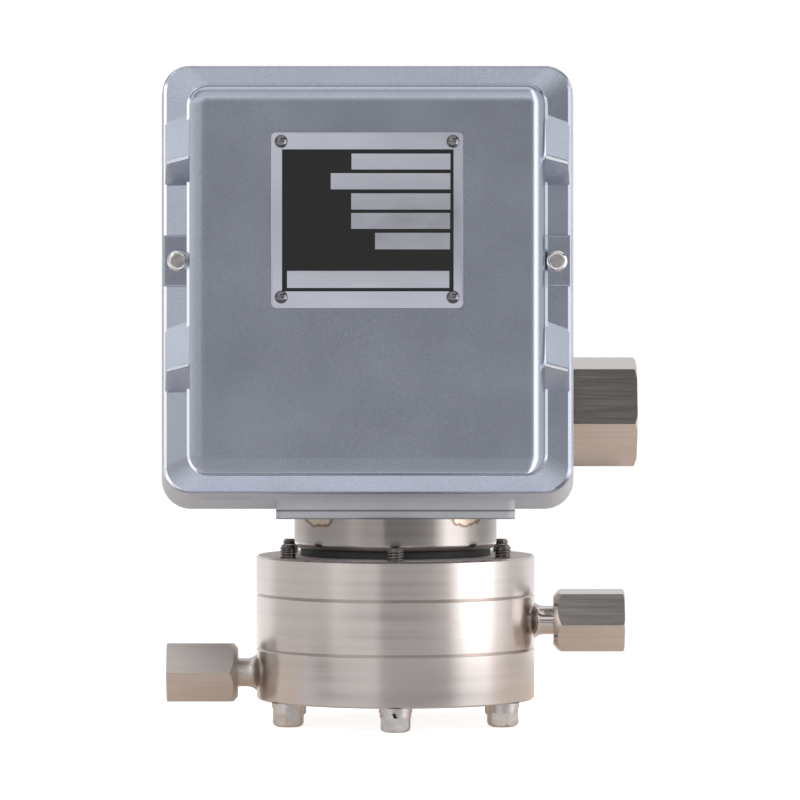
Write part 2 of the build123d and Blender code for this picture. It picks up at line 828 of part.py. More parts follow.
def make_nameplate_rivets():
    r = rivet_head_d / 2
    dome_r = (r ** 2 + rivet_head_h ** 2) / (2 * rivet_head_h)
    head = Pos(0, 0, rivet_head_h - dome_r) * Sphere(dome_r)
    head &= Cylinder(r, rivet_head_h, align=standing)
    shank_l = nameplate_t + rivet_shank_l
    rivet = head + Cylinder(rivet_shank_d / 2, shank_l, align=hanging)
    return Compound([facing_front(x, panel_y - nameplate_t, z) * rivet for x, z in rivet_points()])


# Rear housing

def wall_mount_points():
    half_x = wall_mount_x / 2
    half_z = wall_mount_z / 2
    return [(case_x + sx * half_x, wall_mount_height + sz * half_z) for sx in (-1, 1) for sz in (-1, 1)]


def make_rim():
    """Rim that carries the cover: a set-back front edge, then a flare that drops well below the cover."""
    inset = rim_front_inset
    front_w = cover_w - 2 * inset
    front_foot = cover_foot + inset
    front_top = rim_top - inset
    front_r = cover_corner_r - inset
    set_back = slab_between(front_w, front_r, front_foot, front_top, joint_y, joint_y + inset)
    flare_end = joint_y + rim_flare_depth
    flare = loft([front_outline(joint_y + inset, front_w, front_foot, front_top, front_r),
                  front_outline(flare_end, rim_w, rim_foot, rim_top, rim_corner_r)], ruled=True)
    band = slab_between(rim_w, rim_corner_r, rim_foot, rim_top, flare_end, joint_y + rim_depth)
    return set_back + flare + fillet(back_edges(band), 1.5)


def make_rear_housing():
    body = slab_between(body_w, body_corner_r, body_foot, body_top, joint_y + 4, body_back_y, body_draft_deg)
    body = fillet(back_edges(body), body_back_r)
    pad_depth = pad_back_y - pad_front_y
    pad = Box(pad_w, pad_depth, z_floor - z_pad, align=(Align.CENTER, Align.MIN, Align.MIN))
    pad = fillet(pad.edges().filter_by(Axis.Z), pad_corner_r)
    body += Pos(0, pad_front_y, z_pad) * pad
    body += rod_between(hub_boss_d / 2, (hub_core_x, hub_y, hub_z), (hub_wall_x, hub_y, hub_z))
    for x, z in wall_mount_points():
        boss_end = body_back_y + wall_mount_boss_h
        body += rod_between(wall_mount_boss_d / 2, (x, body_back_y - 2, z), (x, boss_end, z))
    body += make_rim()
    body -= slab_between(cavity_w, cavity_corner_r, z_floor, cavity_top, joint_y, cavity_back_y,
                         cavity_draft_deg)
    body -= Pos(0, floor_face_y, z_floor) * Box(pad_w, -2 * floor_face_y, floor_face_h,
                                                align=(Align.CENTER, Align.MIN, Align.MIN))
    for x, z in wall_mount_points():
        inner_y = body_back_y + wall_mount_boss_h - wall_mount_depth - 3
        body += rod_between(wall_mount_boss_d / 2, (x, inner_y, z), (x, cavity_back_y + 1, z))
        hole_end = body_back_y + wall_mount_boss_h
        body -= rod_between(wall_mount_hole_r, (x, hole_end, z), (x, hole_end - wall_mount_depth, z))
    for x, z in bracket_screw_points() + block_screw_points():
        body += rod_between(wall_boss_d / 2, (x, boss_y, z), (x, cavity_back_y + 1, z))
        hole_end = boss_y + wall_screw_engage + hole_spare
        body -= rod_between(small_screw_d / 2, (x, boss_y, z), (x, hole_end, z))
    earth_y = cavity_back_y - earth_boss_h
    earth_end = earth_y + earth_engage + hole_spare
    body += rod_between(earth_boss_d / 2, (earth_x, earth_y, earth_z), (earth_x, cavity_back_y + 1, earth_z))
    body -= rod_between(earth_screw_d / 2, (earth_x, earth_y, earth_z), (earth_x, earth_end, earth_z))
    body -= seal_groove()
    body -= rod_between(neck_bore_d / 2, (0, 0, z_pad), (0, 0, z_floor))
    for x, y in neck_screw_points():
        body -= rod_between(neck_screw_hole_d / 2, (x, y, z_pad), (x, y, z_floor))
    for x, y in bridge_screw_points():
        hole_end = z_floor - small_screw_engage - hole_spare
        body -= rod_between(small_screw_d / 2, (x, y, z_floor), (x, y, hole_end))
    body -= rod_between(hub_spigot_d / 2, (hub_core_x, hub_y, hub_z), (hub_end_x, hub_y, hub_z))
    for side in (-1, 1):
        x = case_x + side * cover_screw_x
        hole_r = cover_screw_d / 2 + cover_screw_gap
        hole_end = joint_y + cover_screw_engage + hole_spare
        body -= rod_between(hole_r, (x, joint_y, screw_z), (x, hole_end, screw_z))
    return body


def seal_groove():
    def ring(offset, y_from, y_to):
        return slab_between(cavity_w + 2 * offset, cavity_corner_r + offset, z_floor - offset,
                            cavity_top + offset, y_from, y_to)

    end = joint_y + seal_groove_depth
    outer = ring(seal_groove_offset + seal_groove_w / 2, joint_y, end)
    return outer - ring(seal_groove_offset - seal_groove_w / 2, joint_y - 1, end + 1)


def make_cover_gasket():
    return seal_groove()


# Conduit hub

def along_x(x):
    """Local Z runs to the right from the hub's axis at this x."""
    return Plane(origin=(x, hub_y, hub_z), x_dir=(0, 1, 0), z_dir=(1, 0, 0)).location


def cavity_side_x():
    """Inside face of the right-hand wall at the hub's depth."""
    return case_x + cavity_w / 2 - (hub_y - joint_y) * math.tan(math.radians(cavity_draft_deg))


def make_conduit_hub():
    length = hub_end_x - hub_hex_x
    corner_r = hub_af / 2 / math.cos(math.radians(30))
    envelope = turned([(0, 0), (corner_r + 0.1, 0), (corner_r + 0.1, length - hub_chamfer * 0.6),
                       (corner_r - hub_chamfer, length), (0, length)])
    body = along_x(hub_hex_x) * (extrude(hexagon(hub_af, hub_turn_deg), length) & envelope)
    inner_x = cavity_side_x() - hub_face_gap - locknut_h - hub_thread_proud
    body += rod_between(hub_spigot_d / 2, (inner_x, hub_y, hub_z), (hub_hex_x, hub_y, hub_z))
    bore_x = hub_end_x - hub_bore_depth
    body -= rod_between(hub_bore_r, (bore_x, hub_y, hub_z), (hub_end_x, hub_y, hub_z))
    body -= rod_between(hub_through_d / 2, (inner_x, hub_y, hub_z), (bore_x, hub_y, hub_z))
    lead_in = Cone(hub_bore_r, hub_bore_r + hub_lead_in, hub_lead_in, align=hanging)
    return body - along_x(hub_end_x) * lead_in


def make_conduit_seal():
    ring = extrude(Circle(hub_seal_d / 2) - Circle(hub_spigot_d / 2), hub_seal_t)
    return along_x(hub_wall_x) * ring


def make_conduit_locknut():
    nut = extrude(hexagon(locknut_af) - Circle(hub_spigot_d / 2), locknut_h)
    corner_r = locknut_af / 2 / math.cos(math.radians(30))
    envelope = turned([(0, 0), (corner_r - 1.0, 0), (corner_r, 0.6), (corner_r, locknut_h), (0, locknut_h)])
    return along_x(cavity_side_x() - hub_face_gap - locknut_h) * (nut & envelope)


# Spring train

def make_lower_spring_seat():
    z = z_lower_seat
    bore = rod_tip_d / 2
    spigot = seat_spigot_d / 2
    top = z + lower_seat_t
    return turned([(bore, z), (seat_d / 2 - 0.5, z), (seat_d / 2, z + 0.5), (seat_d / 2, top), (spigot, top),
                   (spigot, top + seat_spigot_h - 0.5), (spigot - 0.5, top + seat_spigot_h),
                   (bore, top + seat_spigot_h)])


def make_range_spring():
    rise = spring_l - spring_wire_d
    path = Pos(0, 0, z_spring + spring_wire_d / 2) * Helix(rise / spring_turns, rise, spring_mean_d / 2)
    section = Plane(origin=path @ 0, z_dir=path % 0) * Circle(spring_wire_d / 2)
    return sweep(section, path=path, is_frenet=True)


def make_upper_spring_seat():
    """Seat with two ears that slide in the bridge's legs, and a pointer that reaches over the scale plate."""
    z = z_upper_seat
    top = z + upper_seat_t
    bore = seat_bore_d / 2
    spigot = seat_spigot_d / 2
    foot = z - seat_spigot_h
    seat = turned([(bore, foot), (spigot - 0.5, foot), (spigot, foot + 0.5), (spigot, z),
                   (seat_d / 2, z), (seat_d / 2, top), (bore, top)])
    ears = Pos(0, 0, z) * Box(2 * seat_ear_x, seat_ear_w, upper_seat_t, align=standing)
    ears -= rod_between(seat_d / 2 - 2, (0, 0, z - 1), (0, 0, top + 1))
    arm_y = -bridge_depth / 2 - scale_t - pointer_gap - pointer_w
    outline = Polyline((-pointer_w / 2, -seat_d / 2 + 2), (-pointer_w / 2, arm_y), (pointer_w / 2, arm_y),
                       (pointer_reach, arm_y + pointer_w / 2 - 0.5),
                       (pointer_reach, arm_y + pointer_w / 2 + 0.5),
                       (pointer_w / 2, arm_y + pointer_w), (pointer_w / 2, -seat_d / 2 + 2), close=True)
    pointer = Pos(0, 0, z) * extrude(make_face(outline), pointer_t)
    return seat + ears + pointer


def make_adjusting_nut():
    """Hollow nut: the rod passes through it, and its hexagon stands above the bridge."""
    bore = adjust_nut_bore_d / 2
    r = adjust_nut_d / 2
    body = turned([(bore, z_nut), (r - 0.8, z_nut), (r, z_nut + 0.8), (r, z_nut_hex), (bore, z_nut_hex)])
    corner_r = adjust_nut_af / 2 / math.cos(math.radians(30))
    head = extrude(hexagon(adjust_nut_af, 12), adjust_nut_hex_h)
    head &= turned([(bore, 0), (corner_r, 0), (corner_r, adjust_nut_hex_h - 0.8),
                    (corner_r - 1.0, adjust_nut_hex_h), (bore, adjust_nut_hex_h)])
    return body + Pos(0, 0, z_nut_hex) * head


def bridge_screw_points():
    return [(sx * bridge_screw_x, sy * bridge_screw_y) for sx in (-1, 1) for sy in (-1, 1)]


def make_spring_bridge():
    """Thick strip folded into two feet, two slotted legs and a top plate with a threaded boss."""
    foot_x = bridge_foot_x
    leg_in = bridge_leg_x
    leg_out = leg_in + bridge_t
    under = z_bridge_plate
    over = under + bridge_t
    z0 = z_floor
    z1 = z_floor + bridge_t
    half = [(foot_x, z0), (leg_in, z0), (leg_in, under)]
    half_back = [(leg_out, over), (leg_out, z1), (foot_x, z1)]
    outline = half + [(-x, z) for x, z in half[::-1]] + [(-x, z) for x, z in half_back[::-1]] + half_back
    face = make_face(Polyline(*[(x, 0, z) for x, z in outline], close=True))
    strip = extrude(face, bridge_depth / 2, dir=(0, 1, 0)) + extrude(face, bridge_depth / 2, dir=(0, -1, 0))
    inner_folds = [e for e in strip.edges() if is_at(e, leg_in, under) or is_at(e, leg_out, z1)]
    strip = fillet(inner_folds, bridge_bend_r)
    outer_folds = [e for e in strip.edges() if is_at(e, leg_out, over) or is_at(e, leg_in, z0)]
    strip = fillet(outer_folds, bridge_bend_r + bridge_t - 0.5)
    boss = turned([(0, under), (bridge_boss_d / 2, under), (bridge_boss_d / 2, z_bridge_boss - 0.6),
                   (bridge_boss_d / 2 - 0.6, z_bridge_boss), (0, z_bridge_boss)])
    strip += boss
    strip -= rod_between(adjust_nut_d / 2 + adjust_thread_gap, (0, 0, under - 1), (0, 0, z_bridge_boss + 1))
    slot_foot = z_upper_seat - adjust_travel - 0.5
    slot_top = z_nut + adjust_travel + 0.5
    slot = Box(2 * leg_out + 2, bridge_slot_w, slot_top - slot_foot, align=standing)
    strip -= Pos(0, 0, slot_foot) * slot
    for x, y in bridge_screw_points():
        strip -= rod_between(small_screw_d / 2 + screw_clearance, (x, y, z0 - 1), (x, y, z1 + 1))
    for x, z in scale_screw_points():
        front = -bridge_depth / 2
        strip -= rod_between(scale_screw_d / 2, (x, front - 1, z), (x, front + scale_screw_engage, z))
    return strip


def is_at(edge, x, z):
    """True for a full-depth edge along Y at this point of the front view, on either side of the axis."""
    centre = edge.center()
    full = abs(edge.length - bridge_depth) < 0.01
    return full and abs(abs(centre.X) - x) < 0.01 and abs(centre.Z - z) < 0.01


def make_bridge_screws():
    screw = pan_screw(small_screw_head_d, small_screw_head_h, small_screw_d, bridge_t + small_screw_engage)
    z = z_floor + bridge_t
    places = enumerate(bridge_screw_points())
    return Compound([Pos(x, y, z) * Rot(0, 0, 17 * i) * screw for i, (x, y) in places])


def scale_screw_points():
    foot = z_upper_seat - scale_drop
    x = bridge_leg_x + bridge_t / 2
    return [(x, foot + scale_screw_foot_inset), (x, foot + scale_h - scale_screw_top_inset)]


def make_scale_plate():
    y = -bridge_depth / 2
    foot = z_upper_seat - scale_drop
    plate = Pos(scale_left, y - scale_t, foot) * Box(scale_w, scale_t, scale_h,
                                                     align=(Align.CENTER, Align.MIN, Align.MIN))
    plate = fillet(plate.edges().filter_by(Axis.Y), scale_corner_r)
    for x, z in scale_screw_points():
        plate -= rod_between(scale_screw_d / 2, (x, y + 1, z), (x, y - 2 * scale_t, z))
    return plate


def make_scale_screws():
    screw = pan_screw(scale_screw_head_d, scale_screw_head_h, scale_screw_d, scale_t + scale_screw_engage)
    y = -bridge_depth / 2 - scale_t
    return Compound([facing_front(x, y, z) * screw for x, z in scale_screw_points()])


# Microswitch and bracket

def switch_screw_points():
    z = z_switch + switch_screw_z
    return [(-switch_screw_x, z), (switch_screw_x, z)]


def terminal_xs():
    return [-terminal_pitch, 0, terminal_pitch]


def make_microswitch_case():
    case = Pos(0, 0, z_switch) * Box(switch_l, switch_t, switch_h, align=standing)
    case = fillet(case.edges().filter_by(Axis.Y), switch_edge_r)
    step = Box(switch_l + 2, switch_front_step, switch_front_step_h,
               align=(Align.CENTER, Align.MIN, Align.MAX))
    case -= Pos(0, -switch_t / 2, z_switch_top) * step
    for x, z in switch_screw_points():
        case -= rod_between(small_screw_d / 2 + screw_clearance, (x, -switch_t, z), (x, switch_t, z))
    hole_top = z_switch + plunger_inside + rod_travel + 0.5
    case -= rod_between(plunger_d / 2 + plunger_gap, (0, 0, z_switch), (0, 0, hole_top))
    return case


def make_microswitch_plunger():
    r = plunger_d / 2
    top = z_switch + plunger_inside
    return turned([(0, z_plunger), (r - 0.6, z_plunger), (r, z_plunger + 0.6), (r, top), (0, top)])


def make_microswitch_terminals():
    """Three brass plates with clamp screws on the top of the case."""
    plate = Box(terminal_w, terminal_l, terminal_t, align=standing)
    head = Pos(0, clamp_screw_y, terminal_t) * Cylinder(clamp_screw_d / 2, clamp_screw_h, align=standing)
    slot = Rot(0, 0, 30) * Box(1.2 * clamp_screw_d, clamp_slot_w, 2 * clamp_slot_depth)
    terminal = plate + head - Pos(0, clamp_screw_y, terminal_t + clamp_screw_h) * slot
    return Compound([Pos(x, 0, z_switch_top) * terminal for x in terminal_xs()])


def make_microswitch_screws():
    length = switch_t + bracket_t + switch_screw_l_beyond
    screw = pan_screw(small_screw_head_d, small_screw_head_h, small_screw_d, length)
    return Compound([facing_front(x, -switch_back_y, z) * screw for x, z in switch_screw_points()])


def bracket_screw_points():
    z = z_switch_top + bracket_screw_rise
    return [(sx * bracket_screw_x, z) for sx in (-1, 1)]


def make_switch_bracket():
    """Sheet folded twice: a face behind the switch, a shelf, and a face on the rear wall."""
    t = bracket_t
    y0 = switch_back_y
    y1 = boss_y
    foot = z_switch + bracket_foot_gap
    shelf = z_switch_top + bracket_shelf_gap
    top = bracket_screw_points()[0][1] + bracket_edge
    outline = Polyline((0, y0, foot), (0, y0 + t, foot), (0, y0 + t, shelf), (0, y1, shelf), (0, y1, top),
                       (0, y1 - t, top), (0, y1 - t, shelf + t), (0, y0, shelf + t), close=True)
    face = make_face(outline)
    sheet = extrude(face, bracket_w / 2, dir=(1, 0, 0)) + extrude(face, bracket_w / 2, dir=(-1, 0, 0))
    inner = [e for e in sheet.edges() if at_yz(e, y0 + t, shelf) or at_yz(e, y1 - t, shelf + t)]
    sheet = fillet(inner, bracket_bend_r)
    outer = [e for e in sheet.edges() if at_yz(e, y0, shelf + t) or at_yz(e, y1, shelf)]
    sheet = fillet(outer, bracket_bend_r + t - 0.1)
    for x, z in switch_screw_points():
        sheet -= rod_between(small_screw_d / 2, (x, y0 - 1, z), (x, y0 + t + 1, z))
    for x, z in bracket_screw_points():
        sheet -= rod_between(small_screw_d / 2 + screw_clearance, (x, y1 - t - 1, z), (x, y1 + 1, z))
    return sheet


def at_yz(edge, y, z):
    """True for a full-width edge along X at this point of the side view."""
    centre = edge.center()
    full = abs(edge.length - bracket_w) < 0.01
    return full and abs(centre.Y - y) < 0.01 and abs(centre.Z - z) < 0.01


def make_bracket_screws():
    screw = pan_screw(small_screw_head_d, small_screw_head_h, small_screw_d, bracket_t + wall_screw_engage)
    return Compound([facing_front(x, boss_y - bracket_t, z) * screw for x, z in bracket_screw_points()])


# Terminal block and leads

def block_screw_points():
    rise = block_h / 2 + block_ear_h / 2
    return [(block_x, block_z - rise), (block_x, block_z + rise)]


def block_poles():
    return [block_x + i * block_pole_pitch for i in (-1, 0, 1)]


def make_terminal_block():
    front = boss_y - block_depth
    body = Pos(block_x, front, block_z) * Box(block_w, block_depth, block_h,
                                              align=(Align.CENTER, Align.MIN, Align.CENTER))
    body = fillet(front_edges(body), block_edge_r)
    for x in block_poles():
        pocket = Box(block_pole_pitch - block_rib_w, block_rib_depth, block_h + 2,
                     align=(Align.CENTER, Align.MIN, Align.CENTER))
        body -= Pos(x, front - 0.01, block_z) * pocket
    ear_h = block_h + 2 * block_ear_h
    ears = Pos(block_x, boss_y, block_z) * Box(block_ear_w, block_ear_t, ear_h,
                                               align=(Align.CENTER, Align.MAX, Align.CENTER))
    body += fillet(ears.edges().filter_by(Axis.Y), block_ear_r)
    ear_y = boss_y - block_ear_t
    for x, z in block_screw_points():
        body -= rod_between(small_screw_d / 2 + screw_clearance, (x, ear_y - 1, z), (x, boss_y + 1, z))
    return body


def make_terminal_screws():
    """Two clamp screws for each pole, seated on the floor of its pocket."""
    r = terminal_screw_d / 2
    head = Cylinder(r, terminal_screw_h, align=standing)
    head = fillet(head.faces().sort_by(Axis.Z)[-1].edges(), terminal_screw_edge_r)
    head -= Pos(0, 0, terminal_screw_h) * Box(3 * r, terminal_slot_w, 2 * terminal_slot_depth)
    seat_y = boss_y - block_depth + block_rib_depth - 0.01
    places = enumerate([(x, block_z + sz * block_h / 4) for x in block_poles() for sz in (-1, 1)])
    return Compound([facing_front(x, seat_y, z) * Rot(0, 0, 25 * i) * head for i, (x, z) in places])


def make_terminal_block_screws():
    screw = pan_screw(small_screw_head_d, small_screw_head_h, small_screw_d, block_ear_t + wall_screw_engage)
    return Compound([facing_front(x, boss_y - block_ear_t, z) * screw for x, z in block_screw_points()])


def make_wire(terminal, pole, order):
    """Lead from a microswitch terminal up, across and down into the terminal block."""
    x0 = terminal_xs()[terminal]
    x1 = block_poles()[pole]
    z0 = z_switch_top + terminal_t
    level = z0 + wire_rise + wire_step * order
    foot = block_z + block_h / 2
    path = FilletPolyline((x0, wire_y, z0), (x0, wire_y, level), (x1, wire_block_y, level),
                          (x1, wire_block_y, foot), radius=wire_bend_r)
    section = Plane(origin=path @ 0, z_dir=path % 0) * Circle(wire_d / 2)
    return sweep(section, path=path)


# Earth screw

def make_earth_screw():
    length = earth_washer_t + earth_engage
    screw = pan_screw(earth_head_d, earth_head_h, earth_screw_d, length)
    return facing_front(earth_x, cavity_back_y - earth_boss_h - earth_washer_t, earth_z) * screw


def make_earth_washer():
    washer = extrude(Circle(earth_washer_d / 2) - Circle(earth_screw_d / 2), earth_washer_t)
    return facing_front(earth_x, cavity_back_y - earth_boss_h, earth_z) * washer


nodes = {
    "lower_flange": make_lower_flange(),
    "middle_flange": make_middle_flange(),
    "upper_flange": make_upper_flange(),
    "high_port_adapter": make_port_adapter(-1, z_lower_port, high_port_turn_deg),
    "low_port_adapter": make_port_adapter(1, z_upper_port, low_port_turn_deg),
    "flange_bolts": make_flange_bolts(),
    "spring_washers": make_spring_washers(),
    "flat_washers": make_flat_washers(),
    "sensing_diaphragm": make_sensing_diaphragm(),
    "seal_diaphragm": make_seal_diaphragm(),
    "diaphragm_plate_lower": make_diaphragm_plate(z_middle - lower_plate_t, lower_plate_t, 1),
    "diaphragm_plate_upper": make_diaphragm_plate(z_middle + diaphragm_t, upper_plate_t, 0),
    "diaphragm_nut": make_diaphragm_nut(),
    "push_rod": make_push_rod(),
    "rod_guide_bush": make_rod_guide_bush(),
    "neck_gasket": make_neck_gasket(),
    "spring_housing": make_spring_housing(),
    "housing_screws": make_housing_screws(),
    "front_cover": make_front_cover(),
    "cover_screws": make_cover_screws(),
    "nameplate": make_nameplate(),
    "nameplate_rivets": make_nameplate_rivets(),
    "rear_housing": make_rear_housing(),
    "cover_gasket": make_cover_gasket(),
    "conduit_hub": make_conduit_hub(),
    "conduit_seal": make_conduit_seal(),
    "conduit_locknut": make_conduit_locknut(),
    "lower_spring_seat": make_lower_spring_seat(),
    "range_spring": make_range_spring(),
    "upper_spring_seat": make_upper_spring_seat(),
    "adjusting_nut": make_adjusting_nut(),
    "spring_bridge": make_spring_bridge(),
    "bridge_screws": make_bridge_screws(),
    "scale_plate": make_scale_plate(),
    "scale_screws": make_scale_screws(),
    "microswitch_case": make_microswitch_case(),
    "microswitch_plunger": make_microswitch_plunger(),
    "microswitch_terminals": make_microswitch_terminals(),
    "microswitch_screws": make_microswitch_screws(),
    "switch_bracket": make_switch_bracket(),
    "bracket_screws": make_bracket_screws(),
    "terminal_block": make_terminal_block(),
    "terminal_screws": make_terminal_screws(),
    "terminal_block_screws": make_terminal_block_screws(),
    "wire_closed": make_wire(0, 2, 0),
    "wire_common": make_wire(1, 1, 1),
    "wire_open": make_wire(2, 0, 2),
    "earth_screw": make_earth_screw(),
    "earth_washer": make_earth_washer(),
}

os.makedirs("parts", exist_ok=True)
for name, solid in nodes.items():
    export_step(solid, f"parts/{name}.step")
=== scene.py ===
import math

import bmesh
import bpy
from mathutils import Matrix, Vector


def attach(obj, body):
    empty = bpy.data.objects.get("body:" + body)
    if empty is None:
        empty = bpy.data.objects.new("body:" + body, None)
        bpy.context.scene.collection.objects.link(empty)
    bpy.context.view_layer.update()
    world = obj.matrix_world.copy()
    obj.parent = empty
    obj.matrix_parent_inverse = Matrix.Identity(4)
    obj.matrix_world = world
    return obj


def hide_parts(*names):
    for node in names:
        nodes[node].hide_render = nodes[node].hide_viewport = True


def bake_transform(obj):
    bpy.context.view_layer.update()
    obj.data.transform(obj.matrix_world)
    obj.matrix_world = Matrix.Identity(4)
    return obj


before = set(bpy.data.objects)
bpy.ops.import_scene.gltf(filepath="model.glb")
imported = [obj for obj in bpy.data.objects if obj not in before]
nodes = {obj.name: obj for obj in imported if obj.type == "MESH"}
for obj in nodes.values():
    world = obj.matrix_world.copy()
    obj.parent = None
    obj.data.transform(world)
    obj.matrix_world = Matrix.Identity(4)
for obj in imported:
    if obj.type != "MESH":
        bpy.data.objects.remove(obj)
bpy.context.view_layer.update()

MM = 0.001

# Places of the flange stack and the enclosure, in metres in the row frame
BOLT_CIRCLE_R = 0.0445
BOLT_COUNT = 6
BOLT_R = 0.003
BOLT_THREAD_FROM = 0.0604
BOLT_TIP = 0.0653
BOLT_TIP_CHAMFER = 0.0010
BOLT_TIP_FALL = 0.8
BOLT_PITCH = 0.001
BOLT_THREAD_DEPTH = 0.00055
BOLT_TURN = 1.1
PORT_BORE_R = 0.0057
HUB_BORE_R = 0.01206

# Threaded bores along X: piece, radius, pitch, mouth and end along X, centre in Y and Z
BORES = [("high_port_thread", PORT_BORE_R, 0.00134, -0.0828, -0.0690, 0, 0.01785),
         ("low_port_thread", PORT_BORE_R, 0.00134, 0.0828, 0.0690, 0, 0.03685),
         ("conduit_thread", HUB_BORE_R, 0.00181, 0.0860, 0.0698, 0.002, 0.1126)]
BORE_INSET = 0.00003

# Rounded rectangles of the cover's edge and the panel's foot:
# centre x, centre z, half width, half height, corner radius
COVER_OUTLINE = (-0.010, 0.1606, 0.07275, 0.0760, 0.0095)
PANEL_OUTLINE = (-0.010, 0.1606, 0.06315, 0.0688, 0.0070)

# Bright bevels along them, where the shading normal leans outwards; on the left the colour is also painted
# near
# white, a painted highlight: distances inside the outline, depths in Y, and how far the left and the right
# ones lean
COVER_EDGE_BAND = (0.0004, 0.0015)
COVER_EDGE_DEPTHS = (-0.0453, -0.0430)
COVER_EDGE_LEANS = (3.2, 2.1)
PANEL_FOOT_BAND = (-0.0009, 0.0001)
PANEL_FOOT_DEPTHS = (-0.0472, -0.0450)
PANEL_FOOT_LEANS = (3.2, 1.0)

# The raised panel: in front of a depth in Y and between two sides; and the ribs beside it, whose ridges are
# in front of another depth
PANEL_FROM = -0.0475
PANEL_SIDES = (-0.0731, 0.0531)
RIDGE_FROM = -0.0500

# Shading of the panel's rounded edge: how much of the slope shows, and between which limits
SHOWN_UPWARD = 0.45
UPWARD_LIMITS = (-0.018, 0.17)
STEEP_FROM = 0.74
SHOWN_LEFTWARD = 0.3
LEFTWARD_LIMIT = -0.085
SHOWN_RIGHTWARD = 1.5

# Shading of the ribs' ridges: the slopes that count as a ridge, and the normal it shows; the ridges' colour
# is also painted near white, a painted highlight
RIDGE_SLOPES = (-0.35, 0.30)
RIDGE_ACROSS = 0.6
RIDGE_NORMAL = (0.0, -0.9, 0.43)

# Painted shade on the housing: a dark line at the joint behind its rim, in Y, and painted shadow along the
# foot and head of the pad above the neck, in Y and Z
RIM_SEAM = (-0.0380, -0.0368)
PAD_FRONT = (-0.0345, -0.0200)
PAD_FOOT = (0.0752, 0.0757)
PAD_HEAD = (0.0775, 0.0781)
PAD_SEEN_TO = 0.0784

# Brown heat marks below the top of the neck
NECK_TOP = 0.0751
HEAT_MARK_X = 0.0264
HEAT_MARK_SHIFT = -0.0011
HEAT_MARK_W = 0.0100
HEAT_MARK_H = 0.0031

# Division lines of the scale plate
SCALE_X = 0.0205
SCALE_Z = 0.1145
SCALE_STEP = 0.001
SCALE_LINE_SHARE = 0.28
SCALE_HALF_W = 0.003
SCALE_HALF_H = 0.0052

# Nameplate: centre, front in Y, half width and height, corner, thickness, edge round and enamel
PLATE_CENTRE = Vector((-0.010, 0, 0.1816))
PLATE_FRONT = -0.0608
PLATE_HALF_W = 0.03385
PLATE_HALF_H = 0.031
PLATE_CORNER = 0.002
PLATE_T = 0.0008
PLATE_EDGE = 0.0002
ENAMEL_RISE = 0.00004
ENAMEL_SINK = 0.00005

# Edges of the enamelled field and its bare windows: left, right, top, foot, from the plate's centre in mm
FIELD = (-29.95, 30.45, 24.9, -25.1)
WINDOWS = [(-5.5, 29.3, 23.4, 17.8), (-12.8, 29.3, 16.5, 10.8), (-5.6, 29.3, 9.4, 3.7),
           (-5.6, 29.2, 2.5, -3.1), (2.8, 29.2, -4.5, -10.3), (-28.2, 28.95, -17.9, -23.9)]


# Materials. Object coordinates are metres in the row frame for every piece, so a size is a real size.

def add_node(tree, kind, inputs, settings):
    """Adds a shader node; inputs are (name or index, value or socket) pairs."""
    node = tree.nodes.new(kind)
    for key, value in settings.items():
        setattr(node, key, value)
    for socket, value in inputs:
        if isinstance(value, bpy.types.NodeSocket):
            tree.links.new(value, node.inputs[socket])
        else:
            node.inputs[socket].default_value = value
    return node


